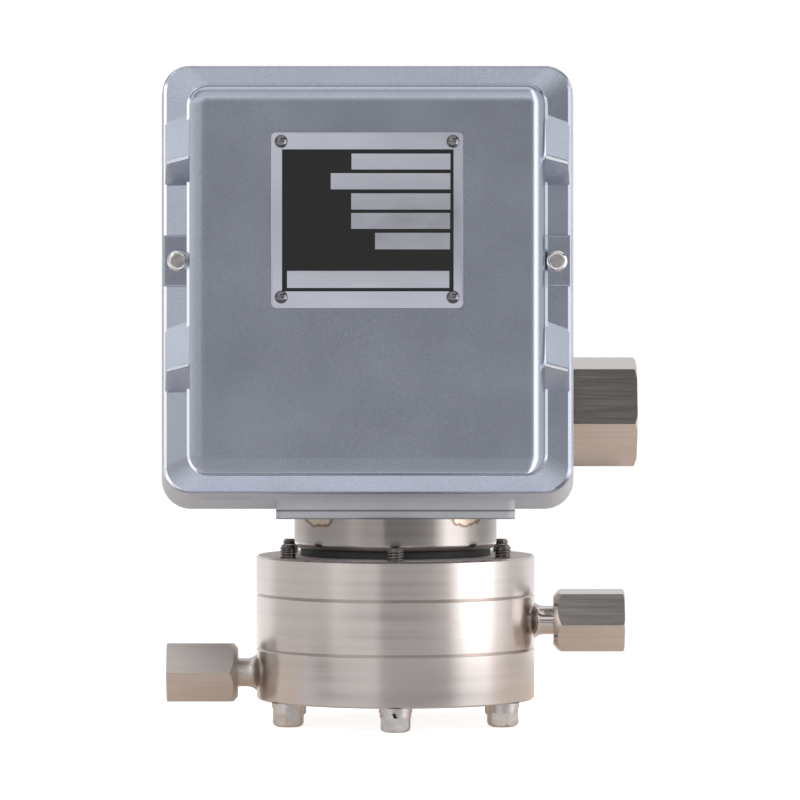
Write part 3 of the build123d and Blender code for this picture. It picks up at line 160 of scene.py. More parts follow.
class Finish:
    """A principled material with short ways to add the textures it is made of."""

    def __init__(self, name, colour, roughness, metallic=0.0, **sockets):
        self.material = bpy.data.materials.new(name)
        self.material.use_nodes = True
        self.tree = self.material.node_tree
        self.shader = self.tree.nodes["Principled BSDF"]
        self.set("Base Color", (*colour, 1))
        self.set("Roughness", roughness)
        self.set("Metallic", metallic)
        for socket, value in sockets.items():
            self.set(socket.replace("_", " "), value)
        self.coords = self.node("ShaderNodeTexCoord").outputs["Object"]
        self.normal = None

    def set(self, socket, value):
        if isinstance(value, bpy.types.NodeSocket):
            self.tree.links.new(value, self.shader.inputs[socket])
        else:
            self.shader.inputs[socket].default_value = value

    def node(self, kind, inputs=(), **settings):
        return add_node(self.tree, kind, inputs, settings)

    def math(self, operation, a, b=0.0, c=0.0):
        return self.node("ShaderNodeMath", [(0, a), (1, b), (2, c)], operation=operation).outputs[0]

    def vector_math(self, operation, a, b=(0, 0, 0)):
        return self.node("ShaderNodeVectorMath", [(0, a), (1, b)], operation=operation).outputs[0]

    def times(self, a, b):
        return self.math("MULTIPLY", a, b)

    def minus(self, a, b):
        return self.math("SUBTRACT", a, b)

    def length(self, a, b):
        """Length of a vector with these two parts."""
        return self.math("SQRT", self.math("ADD", self.times(a, a), self.times(b, b)))

    def between(self, value, low, high):
        """1 where the value lies between low and high, else 0."""
        return self.times(self.math("GREATER_THAN", value, low), self.math("LESS_THAN", value, high))

    def distance(self, value, centre):
        return self.math("ABSOLUTE", self.minus(value, centre))

    def parts(self, source=None):
        """The x, y and z of a vector, or of the object coordinates."""
        return self.node("ShaderNodeSeparateXYZ", [(0, source or self.coords)]).outputs[0:3]

    def vector(self, x=0.0, y=0.0, z=0.0):
        return self.node("ShaderNodeCombineXYZ", [(0, x), (1, y), (2, z)]).outputs[0]

    def stretched(self, size):
        """Object coordinates divided by a size along each axis."""
        scale = tuple(1 / s for s in size)
        return self.node("ShaderNodeMapping", [("Vector", self.coords), ("Scale", scale)]).outputs[0]

    def noise(self, size, detail=2.0, shift=0.0):
        """Noise with features of about this size in metres, one number or one for each axis."""
        if not isinstance(size, tuple):
            size = (size, size, size)
        vector = self.stretched(size)
        if shift:
            vector = self.vector_math("ADD", vector, (shift, shift, shift))
        return self.noise_at(vector, detail)

    def noise_at(self, vector, detail):
        inputs = [("Vector", vector), ("Scale", 1.0), ("Detail", detail)]
        return self.node("ShaderNodeTexNoise", inputs).outputs[0]

    def rings(self, axis, size, detail=2.0):
        """Noise that is the same all the way round an axis line through the origin, like tool marks."""
        parts = self.parts()
        across = [part for part, letter in zip(parts, "XYZ") if letter != axis]
        radius = self.times(self.length(*across), 1 / size)
        along = self.times(parts["XYZ".index(axis)], 1 / size)
        return self.noise_at(self.vector(radius, along), detail)

    def spread(self, value, low, high, start=0.3, end=0.7):
        """Maps a texture value from start..end to low..high."""
        node = self.node("ShaderNodeMapRange", [("Value", value), ("From Min", start), ("From Max", end),
                                                ("To Min", low), ("To Max", high)])
        return node.outputs[0]

    def tint(self, value, dark, light, start=0.3, end=0.7):
        """Colour between dark and light, following a texture value."""
        factor = self.spread(value, 0.0, 1.0, start, end)
        mix = self.node("ShaderNodeMix", [("Factor", factor), ("A", (*dark, 1)), ("B", (*light, 1))],
                        data_type="RGBA")
        return mix.outputs["Result"]

    def blend(self, factor, a, b):
        """Mixes two colours, each a socket or three numbers."""
        inputs = [("Factor", factor)]
        inputs += [(key, value if isinstance(value, bpy.types.NodeSocket) else (*value, 1))
                   for key, value in ((6, a), (7, b))]
        return self.node("ShaderNodeMix", inputs, data_type="RGBA").outputs[2]

    def bump(self, height, depth, strength=1.0):
        """Adds relief: height 0..1 stands for a depth in metres."""
        inputs = [("Height", height), ("Distance", depth), ("Strength", strength)]
        if self.normal:
            inputs.append(("Normal", self.normal))
        self.normal = self.node("ShaderNodeBump", inputs).outputs[0]
        self.set("Normal", self.normal)

    def use_normal(self, factor, normal):
        """Replaces the shading normal where factor is 1."""
        self.normal = self.node("ShaderNodeMix", [("Factor", factor), (4, self.normal), (5, normal)],
                                data_type="VECTOR").outputs[1]
        self.set("Normal", self.normal)

    def side_line(self, outline, band, depths, left_lean, right_lean):
        """Bright bevel along a rounded rectangle's sides, made by leaning the shading normal outwards: band
        is a range of distances inside the outline.

        The outline is (centre x, centre z, half width, half height, corner radius); returns the left part,
        where the caller paints the colour near white as a painted highlight."""
        centre_x, centre_z, half_w, half_h, radius = outline
        x, y, z = self.parts()
        from_x = self.minus(x, centre_x)
        out_x = self.minus(self.math("ABSOLUTE", from_x), half_w - radius)
        out_z = self.minus(self.distance(z, centre_z), half_h - radius)
        past_x = self.math("MAXIMUM", out_x, 0.0)
        past_z = self.math("MAXIMUM", out_z, 0.0)
        in_corner = self.vector(past_x, 0.0, past_z)
        reach = self.node("ShaderNodeVectorMath", [(0, in_corner)], operation="LENGTH").outputs["Value"]
        before = self.math("MINIMUM", self.math("MAXIMUM", out_x, out_z), 0.0)
        inside = self.minus(radius, self.math("ADD", reach, before))
        to_side = self.math("DIVIDE", past_x, self.math("ADD", reach, 1e-6))
        upper = self.math("GREATER_THAN", z, centre_z)
        slope = self.math("SQRT", self.math("MAXIMUM", self.minus(1.0, self.times(to_side, to_side)), 0.0))
        share = self.minus(to_side, self.times(self.times(upper, slope), 1.5))
        found = self.times(self.between(inside, *band), self.between(y, *depths))
        found = self.times(found, self.spread(share, 0.0, 1.0, 0.3, 0.6))
        right = self.math("GREATER_THAN", from_x, 0.0)
        side_x = self.times(to_side, self.spread(right, -1.0, 1.0, 0.0, 1.0))
        side_z = self.times(slope, self.spread(upper, -1.0, 1.0, 0.0, 1.0))
        lean = self.spread(right, -left_lean, -right_lean, 0.0, 1.0)
        self.use_normal(found, self.vector_math("NORMALIZE", self.vector(side_x, lean, side_z)))
        return self.times(found, self.minus(1.0, right))

    def turned(self, axis, amount):
        """Highlights drawn out across tool marks that run round the axis."""
        tangent = self.node("ShaderNodeTangent", direction_type="RADIAL", axis=axis).outputs[0]
        self.set("Tangent", tangent)
        self.set("Anisotropic", amount)
        self.set("Anisotropic Rotation", 0.25)


def ease_panel(paint, place, normal):
    """Softer shading of the panel's rounded edge."""
    x, y = place[:2]
    nx, ny, nz = normal
    lowest, highest = UPWARD_LIMITS
    upright = paint.math("MINIMUM", paint.times(nz, SHOWN_UPWARD), highest)
    upright = paint.math("MAXIMUM", upright, lowest)
    steep = paint.math("GREATER_THAN", nz, STEEP_FROM)
    upright = paint.math("ADD", upright, paint.times(steep, paint.minus(nz, highest)))
    leftward = paint.times(paint.math("MINIMUM", nx, 0.0), SHOWN_LEFTWARD)
    rightward = paint.times(paint.math("MAXIMUM", nx, 0.0), SHOWN_RIGHTWARD)
    aside = paint.math("ADD", paint.math("MAXIMUM", leftward, LEFTWARD_LIMIT), rightward)
    eased = paint.vector_math("NORMALIZE", paint.vector(aside, ny, upright))
    on_panel = paint.times(paint.between(x, *PANEL_SIDES), paint.math("LESS_THAN", y, PANEL_FROM))
    paint.use_normal(on_panel, eased)


def show_ridges(paint, place, normal):
    """Ridges of the ribs beside the panel, shown with a normal turned towards the bright ceiling; returns how
    much of the colour is painted near white there, as a painted highlight.
    """
    x, y = place[:2]
    nx, nz = normal[0], normal[2]
    off_panel = paint.minus(1.0, paint.between(x, *PANEL_SIDES))
    sloping = paint.times(paint.between(nz, *RIDGE_SLOPES), paint.math("LESS_THAN", y, RIDGE_FROM))
    ridge = paint.times(off_panel, sloping)
    ridge = paint.times(ridge, paint.math("LESS_THAN", paint.math("ABSOLUTE", nx), RIDGE_ACROSS))
    paint.use_normal(ridge, RIDGE_NORMAL)
    # Painted highlight: share of near-white colour, smaller on the left ribs than on the right
    return paint.times(ridge, paint.spread(x, 0.45, 0.95, -0.01, 0.0))


def grey_paint():
    """Satin metallic grey paint on a die casting: flake sparkle, light orange peel, and painted highlights:
    near-white colour on the left edges and on the ribs' ridges.
    """
    paint = Finish("grey_paint", (0.42, 0.45, 0.53), 0.24, 1.0)
    flake = paint.noise(0.00028, 1.0)
    patch = paint.noise(0.03, 3.0)
    tone = paint.tint(flake, (0.37, 0.40, 0.475), (0.48, 0.515, 0.60))
    tone = paint.blend(paint.spread(patch, 0.0, 0.12), tone, (0.36, 0.38, 0.44))
    paint.set("Roughness", paint.spread(patch, 0.22, 0.27))
    paint.bump(paint.noise(0.0022, 2.0), 0.000006)
    paint.bump(paint.noise(0.00045, 2.0), 0.000010)
    place = paint.parts()
    normal = paint.parts(paint.normal)
    ease_panel(paint, place, normal)
    ridge = show_ridges(paint, place, normal)
    # Painted highlights: the left parts of the cover's edge and of the panel's foot, and the ridges, take a
    # near-white colour
    edge = paint.side_line(COVER_OUTLINE, COVER_EDGE_BAND, COVER_EDGE_DEPTHS, *COVER_EDGE_LEANS)
    foot = paint.side_line(PANEL_OUTLINE, PANEL_FOOT_BAND, PANEL_FOOT_DEPTHS, *PANEL_FOOT_LEANS)
    bright = paint.math("MAXIMUM", paint.math("MAXIMUM", edge, foot), ridge)
    paint.set("Base Color", paint.blend(bright, tone, (0.95, 0.96, 1.0)))
    return paint.material


def cast_paint():
    """The same paint on the rougher sand-cast skin of the housing, with painted shade: a dark line at the
    joint behind the cover, and painted shadow along the pad's foot and head.
    """
    paint = Finish("cast_paint", (0.50, 0.505, 0.54), 0.6, 0.15)
    flake = paint.noise(0.0004, 2.0)
    patch = paint.noise(0.018, 3.0)
    tone = paint.tint(flake, (0.47, 0.47, 0.50), (0.62, 0.62, 0.655))
    tone = paint.blend(paint.spread(patch, 0.0, 0.15), tone, (0.38, 0.385, 0.41))
    y, z = paint.parts()[1:]
    # Painted shade: dark colour at the joint behind the rim, then painted shadow along the pad's edges
    painted_shade = paint.spread(y, 1.0, 0.0, *RIM_SEAM)
    pad = paint.between(y, *PAD_FRONT)
    foot = paint.spread(z, 1.0, 0.0, *PAD_FOOT)
    head = paint.spread(z, 0.0, 1.0, *PAD_HEAD)
    pad_edge_shade = paint.times(paint.math("MAXIMUM", foot, head), paint.math("LESS_THAN", z, PAD_SEEN_TO))
    painted_shade = paint.math("MAXIMUM", painted_shade, paint.times(pad, pad_edge_shade))
    paint.set("Base Color", paint.blend(painted_shade, tone, (0.14, 0.145, 0.16)))
    paint.set("Roughness", paint.spread(patch, 0.52, 0.66))
    paint.bump(paint.noise(0.004, 3.0), 0.00006)
    paint.bump(paint.noise(0.0009, 3.0), 0.00008)
    return paint.material


def stainless_turned(name, axis, roughness=0.2, marks=0.0009, depth_of_tone=1.0):
    """Lathe-turned stainless steel: tool marks round the axis, faint warm patches, matt upward faces."""
    steel = Finish(name, (0.62, 0.565, 0.54), roughness, 1.0)

    def toned(*colour):
        return tuple(c * depth_of_tone for c in colour)

    fine = steel.rings(axis, marks * 0.35, 2.0)
    coarse = steel.rings(axis, marks * 4, 3.0)
    patch = steel.noise(0.02, 3.0)
    tone = steel.tint(coarse, toned(0.585, 0.53, 0.505), toned(0.65, 0.60, 0.575))
    steel.set("Base Color", steel.blend(steel.spread(patch, 0.0, 0.25), tone, toned(0.60, 0.53, 0.49)))
    upward = steel.parts(steel.node("ShaderNodeNewGeometry").outputs["Normal"])[2]
    rough = steel.spread(coarse, roughness - 0.03, roughness + 0.05)
    steel.set("Roughness", steel.math("ADD", rough, steel.spread(upward, 0.0, 0.34, 0.75, 0.98)))
    steel.bump(coarse, 0.000006)
    steel.bump(fine, 0.0000022)
    steel.turned(axis, 0.55)
    return steel


def heat_marks(steel):
    """Brown half-oval heat marks at the top of the neck, left and right, front and back."""
    parts = steel.parts()
    wobble = steel.spread(steel.noise(0.0032, 2.0), -0.16, 0.16)
    aside = steel.minus(steel.distance(parts[0], HEAT_MARK_SHIFT), HEAT_MARK_X)
    aside = steel.math("DIVIDE", aside, HEAT_MARK_W / 2)
    below = steel.math("DIVIDE", steel.minus(parts[2], NECK_TOP), HEAT_MARK_H)
    reach = steel.math("ADD", steel.length(aside, below), wobble)
    old = steel.shader.inputs["Base Color"].links[0].from_socket
    inside = steel.spread(reach, 0.75, 0.0, 0.7, 0.95)
    line = steel.times(steel.spread(reach, 0.0, 0.85, 0.70, 0.88), steel.spread(reach, 1.0, 0.0, 0.98, 1.12))
    straw = steel.blend(inside, old, (0.50, 0.42, 0.34))
    steel.set("Base Color", steel.blend(line, straw, (0.17, 0.10, 0.06)))


def stainless_bar(name, axis, roughness=0.15):
    """Drawn hexagon bar: fine lines along the bar, a little staining."""
    steel = Finish(name, (0.60, 0.55, 0.525), roughness, 1.0)
    along = tuple(0.03 if letter == axis else 0.0006 for letter in "XYZ")
    lines = steel.noise(along, 2.0)
    patch = steel.noise(0.012, 1.0)
    tone = steel.tint(lines, (0.53, 0.485, 0.46), (0.66, 0.61, 0.585), 0.2, 0.8)
    steel.set("Base Color", steel.blend(steel.spread(patch, 0.0, 0.35, 0.2, 0.8), tone, (0.54, 0.475, 0.43)))
    steel.set("Roughness", steel.spread(lines, roughness - 0.02, roughness + 0.03, 0.2, 0.8))
    steel.bump(lines, 0.000003)
    return steel.material


def plated(name, colour, roughness=0.28, grain=0.0006):
    """Plated or plain steel of small parts, with fine uneven grain."""
    steel = Finish(name, colour, roughness, 1.0)
    dark = tuple(c * 0.86 for c in colour)
    light = tuple(min(c * 1.08, 1.0) for c in colour)
    steel.set("Base Color", steel.tint(steel.noise(grain * 4, 3.0), dark, light))
    steel.set("Roughness", steel.spread(steel.noise(grain * 6, 2.0, 3.0), roughness - 0.05, roughness + 0.08))
    steel.bump(steel.noise(grain, 2.0), 0.000008)
    return steel.material


def plate_metal():
    """Brushed aluminium of the nameplate: fine lines across the plate."""
    metal = Finish("nameplate_metal", (0.47, 0.48, 0.54), 0.34, 1.0)
    lines = metal.noise((0.02, 0.02, 0.00018), 2.0)
    metal.set("Base Color", metal.tint(lines, (0.43, 0.44, 0.50), (0.50, 0.51, 0.57)))
    metal.set("Roughness", metal.spread(metal.noise(0.008, 2.0), 0.30, 0.38))
    metal.bump(lines, 0.000004)
    return metal.material


def enamel():
    """Black enamel filled into the nameplate, slightly orange-peeled."""
    black = Finish("black_enamel", (0.010, 0.010, 0.011), 0.45, Specular_IOR_Level=0.3)
    black.set("Roughness", black.spread(black.noise(0.004, 2.0), 0.42, 0.50))
    black.bump(black.noise(0.0008, 2.0), 0.000002)
    return black.material


def rubber():
    """Black moulded rubber with a matt bloom."""
    black = Finish("black_rubber", (0.02, 0.02, 0.021), 0.62)
    black.set("Base Color", black.tint(black.noise(0.006, 3.0), (0.014, 0.014, 0.015), (0.035, 0.034, 0.034)))
    black.set("Roughness", black.spread(black.noise(0.003, 2.0), 0.55, 0.75))
    black.bump(black.noise(0.0005, 2.0), 0.00002)
    return black.material


def plastic():
    """Dark phenolic moulding of the microswitch and terminal block."""
    brown = Finish("switch_plastic", (0.05, 0.035, 0.028), 0.4)
    brown.set("Base Color", brown.tint(brown.noise(0.0006, 3.0), (0.035, 0.025, 0.021), (0.07, 0.05, 0.04)))
    brown.set("Roughness", brown.spread(brown.noise(0.004, 2.0), 0.34, 0.48))
    brown.bump(brown.noise(0.0009, 2.0), 0.00001)
    return brown.material


def sleeve(name, colour):
    """Soft PVC insulation of a lead."""
    soft = Finish(name, colour, 0.45)
    dark = tuple(c * 0.85 for c in colour)
    soft.set("Base Color", soft.tint(soft.noise(0.004, 2.0), dark, colour))
    soft.bump(soft.noise(0.0007, 2.0), 0.00001)
    return soft.material


def scale_metal():
    """Aluminium scale plate with black division lines."""
    metal = Finish("scale_metal", (0.75, 0.75, 0.76), 0.35, 1.0)
    parts = metal.parts()
    step = metal.math("FRACT", metal.times(parts[2], 1 / SCALE_STEP))
    line = metal.math("LESS_THAN", step, SCALE_LINE_SHARE)
    inside = metal.math("LESS_THAN", metal.distance(parts[0], SCALE_X), SCALE_HALF_W)
    band = metal.math("LESS_THAN", metal.distance(parts[2], SCALE_Z), SCALE_HALF_H)
    mark = metal.times(metal.times(line, inside), band)
    metal.set("Base Color", metal.blend(mark, (0.75, 0.75, 0.76), (0.02, 0.02, 0.02)))
    metal.set("Metallic", metal.spread(mark, 1.0, 0.0, 0.0, 1.0))
    metal.bump(metal.noise((0.01, 0.01, 0.0002), 2.0), 0.000005)
    return metal.material


PAINT = grey_paint()
CAST = cast_paint()
DISC = stainless_turned("stainless_turned", "Z").material
# The neck: a darker copy of the discs' turned steel, as painted shade under the enclosure
neck_steel = stainless_turned("stainless_neck", "Z", 0.17, 0.0012, 0.58)
heat_marks(neck_steel)
NECK = neck_steel.material
BAR = stainless_bar("stainless_bar", "X")
MATT_BAR = stainless_bar("stainless_bar_matt", "X", 0.36)
BOLT = plated("bolt_steel", (0.66, 0.63, 0.61))
# Threads darker than the bolts all over: for oil, and as painted shade in the thread's grooves
THREAD = plated("oiled_shaded_thread_steel", (0.26, 0.24, 0.23), 0.20, 0.0003)
BRIGHT = plated("bright_screw_steel", (0.74, 0.72, 0.71), 0.2)
RIVET = plated("rivet_steel", (0.17, 0.17, 0.18), 0.10, 0.0004)
ROD = plated("rod_steel", (0.60, 0.58, 0.56), 0.22, 0.0004)
SPRING = plated("spring_steel", (0.34, 0.34, 0.36), 0.34)
ZINC = plated("plated_steel", (0.68, 0.69, 0.72), 0.36)
BRASS = plated("brass", (0.80, 0.60, 0.28), 0.26)
PLATE = plate_metal()
ENAMEL = enamel()
RUBBER = rubber()
PLASTIC = plastic()
SCALE = scale_metal()

node_finish = {
    "front_cover": PAINT, "rear_housing": CAST,
    "lower_flange": DISC, "middle_flange": DISC, "upper_flange": DISC, "spring_housing": NECK,
    "high_port_adapter": MATT_BAR, "low_port_adapter": BAR, "conduit_hub": BAR,
    "flange_bolts": BOLT, "spring_washers": BOLT, "flat_washers": BOLT, "housing_screws": BOLT,
    "bridge_screws": BOLT, "scale_screws": BOLT, "microswitch_screws": BOLT, "bracket_screws": BOLT,
    "terminal_block_screws": BOLT, "earth_screw": BOLT, "earth_washer": BOLT, "conduit_locknut": BOLT,
    "cover_screws": BRIGHT, "nameplate_rivets": RIVET,
    "push_rod": ROD, "lower_spring_seat": ROD, "upper_spring_seat": ROD, "diaphragm_nut": ROD,
    "diaphragm_plate_lower": ROD, "diaphragm_plate_upper": ROD,
    "range_spring": SPRING, "spring_bridge": ZINC, "switch_bracket": ZINC,
    "adjusting_nut": BRASS, "rod_guide_bush": BRASS, "terminal_screws": BRASS, "microswitch_terminals": BRASS,
    "nameplate": PLATE, "scale_plate": SCALE,
    "neck_gasket": RUBBER, "cover_gasket": RUBBER, "conduit_seal": RUBBER,
    "sensing_diaphragm": RUBBER, "seal_diaphragm": RUBBER,
    "microswitch_case": PLASTIC, "microswitch_plunger": PLASTIC, "terminal_block": PLASTIC,
    "wire_closed": sleeve("sleeve_red", (0.45, 0.03, 0.025)),
    "wire_common": sleeve("sleeve_blue", (0.03, 0.07, 0.32)),
    "wire_open": sleeve("sleeve_black", (0.02, 0.02, 0.022)),
}
for name, obj in nodes.items():
    for material_slot in obj.material_slots:
        material_slot.material = node_finish[name]


# Meshes

def piece(name, bm, materials, body, smooth_deg=35):
    """Turns a bmesh in the row frame into a piece that rides on a body."""
    bmesh.ops.recalc_face_normals(bm, faces=bm.faces)
    mesh = bpy.data.meshes.new(name)
    bm.to_mesh(mesh)
    bm.free()
    for polygon in mesh.polygons:
        polygon.use_smooth = True
    mesh.set_sharp_from_angle(angle=math.radians(smooth_deg))
    obj = bpy.data.objects.new(name, mesh)
    bpy.context.scene.collection.objects.link(obj)
    for material in materials:
        mesh.materials.append(material)
    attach(obj, body)
    return obj


def grid_surface(bm, rows, closed=True):
    """Quads between rows of points; each row is a ring if closed."""
    rings = [[bm.verts.new(p) for p in row] for row in rows]
    count = len(rows[0])
    last = count if closed else count - 1
    for a, b in zip(rings, rings[1:]):
        for i in range(last):
            j = (i + 1) % count
            bm.faces.new((a[i], a[j], b[j], b[i]))
    return rings


def thread_rows(radius, depth, pitch, length, limit, around=48, per_pitch=8):
    """Rings of a V thread along local Z; limit(z, r) gives the radius to use, so an end can be chamfered."""
    rows = []
    steps = max(int(length / pitch * per_pitch), 2)
    for k in range(steps + 1):
        z = length * k / steps
        row = []
        for i in range(around):
            angle = 2 * math.pi * i / around
            turn = (z / pitch - i / around) % 1.0
            height = min(abs(2 * turn - 1) * 1.3, 1.0)
            r = limit(z, radius - depth * (1 - height))
            row.append(Vector((r * math.cos(angle), r * math.sin(angle), z)))
        rows.append(row)
    return rows


def bolt_places():
    return [Vector((BOLT_CIRCLE_R * math.cos(a), BOLT_CIRCLE_R * math.sin(a), 0))
            for a in (2 * math.pi * i / BOLT_COUNT - math.pi / 2 for i in range(BOLT_COUNT))]


def make_bolts():
    """The bolts, with cut threads on the tips that stand out of the upper disc."""
    bm = bmesh.new()
    bm.from_mesh(nodes["flange_bolts"].data)
    above = [v for v in bm.verts if v.co.z > BOLT_THREAD_FROM]
    bmesh.ops.delete(bm, geom=above, context="VERTS")
    length = BOLT_TIP - BOLT_THREAD_FROM

    def limit(z, r):
        return min(r, BOLT_R - max(z - (length - BOLT_TIP_CHAMFER), 0) * BOLT_TIP_FALL)

    thread = thread_rows(BOLT_R, BOLT_THREAD_DEPTH, BOLT_PITCH, length, limit)
    for i, place in enumerate(bolt_places()):
        turn = Matrix.Rotation(BOLT_TURN * i, 4, "Z")
        base = Matrix.Translation(place + Vector((0, 0, BOLT_THREAD_FROM))) @ turn
        rows = [[base @ p for p in row] for row in thread]
        old_faces = set(bm.faces)
        rings = grid_surface(bm, rows)
        bm.faces.new(rings[-1])
        for face in set(bm.faces) - old_faces:
            face.material_index = 1
    bolts = piece("flange_bolts_threaded", bm, [BOLT, THREAD], "root", 40)
    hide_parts("flange_bolts")


def make_spring():
    """The range spring again, as an object of its own with its mesh in the row frame."""
    mesh = nodes["range_spring"].data.copy()
    spring = bpy.data.objects.new("range_spring_coils", mesh)
    bpy.context.scene.collection.objects.link(spring)
    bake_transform(spring)
    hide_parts("range_spring")


def bore_thread(name, radius, pitch, start_x, end_x, y, z):
    """Thread of a bore along X, standing inwards from the bore's wall."""
    length = abs(end_x - start_x)
    side = 1 if end_x > start_x else -1
    bm = bmesh.new()
    inner = radius - pitch * 0.5

    def limit(_, r):
        return max(r, inner)

    rows = []
    for row in thread_rows(radius - BORE_INSET, pitch * 0.5, pitch, length, limit, 64, 6):
        rows.append([Vector((start_x + side * p.z, y + p.x, z + p.y)) for p in row])
    grid_surface(bm, rows)
    piece(name, bm, [BAR], "root", 50)


def cell_is_black(x, z):
    """Whether a point of the nameplate, in mm from its centre, lies in the field and in no window."""
    def inside(box):
        return box[0] < x < box[1] and box[3] < z < box[2]
    return inside(FIELD) and not any(inside(window) for window in WINDOWS)


def plate_outline(inset, y, points_per_corner=9):
    """Rounded rectangle of the nameplate at a depth, inset from its edge."""
    points = []
    for side_x, side_z, start in ((1, 1, 0), (-1, 1, 90), (-1, -1, 180), (1, -1, 270)):
        for k in range(points_per_corner):
            angle = math.radians(start + 90 * k / (points_per_corner - 1))
            radius = PLATE_CORNER - inset
            across = side_x * (PLATE_HALF_W - PLATE_CORNER) + radius * math.cos(angle)
            up = side_z * (PLATE_HALF_H - PLATE_CORNER) + radius * math.sin(angle)
            points.append(PLATE_CENTRE + Vector((across, y, up)))
    return points


def make_nameplate():
    """Aluminium plate with a black enamelled field that leaves bare windows."""
    bm = bmesh.new()
    edge = PLATE_EDGE
    profile = [(0, PLATE_T), (0, edge), (edge * 0.3, edge * 0.3), (edge, 0)]
    rings = grid_surface(bm, [plate_outline(inset, PLATE_FRONT + behind) for inset, behind in profile])
    bm.faces.new(rings[0])
    bm.faces.new(rings[-1])
    xs = sorted({box[i] for box in [FIELD] + WINDOWS for i in (0, 1)})
    zs = sorted({box[i] for box in [FIELD] + WINDOWS for i in (2, 3)})
    depths = (PLATE_FRONT - ENAMEL_RISE, PLATE_FRONT + ENAMEL_SINK)

    def corner_at(x, z, y):
        return bm.verts.new((PLATE_CENTRE.x + x * MM, y, PLATE_CENTRE.z + z * MM))

    black = {(i, j) for i in range(len(xs) - 1) for j in range(len(zs) - 1)
             if cell_is_black((xs[i] + xs[i + 1]) / 2, (zs[j] + zs[j + 1]) / 2)}
    grid = {}
    for i, j in black:
        for a, b in ((i, j), (i + 1, j), (i + 1, j + 1), (i, j + 1)):
            if (a, b) not in grid:
                grid[a, b] = tuple(corner_at(xs[a], zs[b], depth) for depth in depths)
    for i, j in black:
        ring = [(i, j), (i + 1, j), (i + 1, j + 1), (i, j + 1)]
        bm.faces.new([grid[c][0] for c in ring]).material_index = 1
        beside = [(i, j - 1), (i + 1, j), (i, j + 1), (i - 1, j)]
        for k in range(4):
            if beside[k] not in black:
                a, b = ring[k], ring[(k + 1) % 4]
                bm.faces.new((grid[a][0], grid[b][0], grid[b][1], grid[a][1])).material_index = 1
    plate = piece("nameplate_enamelled", bm, [PLATE, ENAMEL], "cover", 30)
    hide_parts("nameplate")


make_bolts()
make_spring()
make_nameplate()
for bore in BORES:
    bore_thread(*bore)


# Camera at the photograph's place: level, on the axis of the flange stack, 1.9 m in front

camera_data = bpy.data.cameras.new("camera")
camera_data.lens = 234.0
camera_data.sensor_width = 36.0
camera_data.shift_x = 0.0056
camera_data.shift_y = -0.15
camera_data.clip_start = 0.05
camera_data.clip_end = 100.0
camera = bpy.data.objects.new("camera", camera_data)
camera.location = (0, -1.891, 0.1605)
camera.rotation_euler = (math.radians(90), 0, 0)
bpy.context.scene.collection.objects.link(camera)
bpy.context.scene.camera = camera


# Floor: its radius, and where in Y the part under the object begins, the part far in front ends and the
# warm part under the flanges begins; to reflected light these parts glow, a painted glow, with a dark strip
# between the first two
FLOOR_R = 0.32
FLOOR_UNDER = (-0.13, -0.09)
FLOOR_FAR = (-0.21, -0.17)
FLOOR_WARM = (-0.055, -0.038)


def make_floor():
    """Pale table; the lens sees it as bright as the backdrop, with the object's soft contact shadow. To
    reflected light it glows, a painted glow: warm under the flanges and brighter far in front, with a dark
    strip between.
    """
    bm = bmesh.new()
    bmesh.ops.create_circle(bm, cap_ends=True, segments=96, radius=FLOOR_R)
    mesh = bpy.data.meshes.new("floor")
    bm.to_mesh(mesh)
    bm.free()
    floor = bpy.data.objects.new("floor", mesh)
    bpy.context.scene.collection.objects.link(floor)
    pale = Finish("floor_pale", (0.55, 0.50, 0.46), 0.9, Specular_IOR_Level=0.1)
    depth = pale.parts()[1]
    under = pale.spread(depth, 0.0, 1.0, *FLOOR_UNDER)
    far = pale.spread(depth, 1.0, 0.0, *FLOOR_FAR)
    warm = pale.spread(depth, 0.0, 1.0, *FLOOR_WARM)
    table = pale.blend(warm, (0.62, 0.62, 0.64), (0.66, 0.59, 0.53))
    # Painted glow for reflected light: glowing under the object and far in front, a dark strip between
    pale.set("Base Color", pale.blend(pale.math("MAXIMUM", under, far), (0.16, 0.16, 0.165), table))
    pale.set("Emission Color", pale.blend(warm, (0.98, 0.98, 1.0), (1.0, 0.84, 0.72)))
    pale.set("Emission Strength", pale.math("MAXIMUM", pale.times(under, 0.27), pale.times(far, 0.66)))
    lit = pale.node("ShaderNodeBsdfDiffuse", [("Color", (0.70, 0.71, 0.72, 1))]).outputs[0]
    glow = pale.node("ShaderNodeEmission", [("Color", (0.99, 1, 1, 1)), ("Strength", 0.82)]).outputs[0]
    seen = pale.node("ShaderNodeAddShader", [(0, lit), (1, glow)]).outputs[0]
    path = pale.node("ShaderNodeLightPath").outputs["Is Camera Ray"]
    mix = pale.node("ShaderNodeMixShader", [(0, path), (1, pale.shader.outputs[0]), (2, seen)])
    output = next(n for n in pale.tree.nodes if n.type == "OUTPUT_MATERIAL")
    pale.tree.links.new(mix.outputs[0], output.inputs["Surface"])
    mesh.materials.append(pale.material)


# Studio by direction in degrees, 0 in front of the object and positive to its right: brightness of the
# walls at the height of the enclosure, and of the lower walls that the flanges mirror
WALLS = [(-180, 0.80), (-130, 0.82), (-114, 0.68), (-92, 0.60), (-72, 0.62), (-60, 0.72), (-45, 0.90),
         (-30, 1.15), (-17, 1.15), (-11, 0.34), (0, 0.26), (14, 0.26), (30, 0.34), (44, 0.55),
         (52, 1.5), (60, 2.4), (82, 2.2), (92, 1.2), (110, 0.70), (126, 0.70), (145, 0.80), (180, 0.80)]
LOW_WALLS = [(-180, 1.00), (-150, 1.00), (-130, 1.00), (-114, 0.60), (-84, 0.56), (-66, 0.60), (-50, 0.60),
             (-32, 0.12), (-16, 0.12), (0, 0.31), (14, 0.34), (28, 0.40), (42, 0.62), (54, 1.5), (62, 2.4),
             (80, 2.2), (92, 1.2), (110, 0.66), (126, 0.70), (146, 1.00), (180, 1.00)]

# Brightness that the white of a colour ramp stands for
RAMP_TOP = 3.0

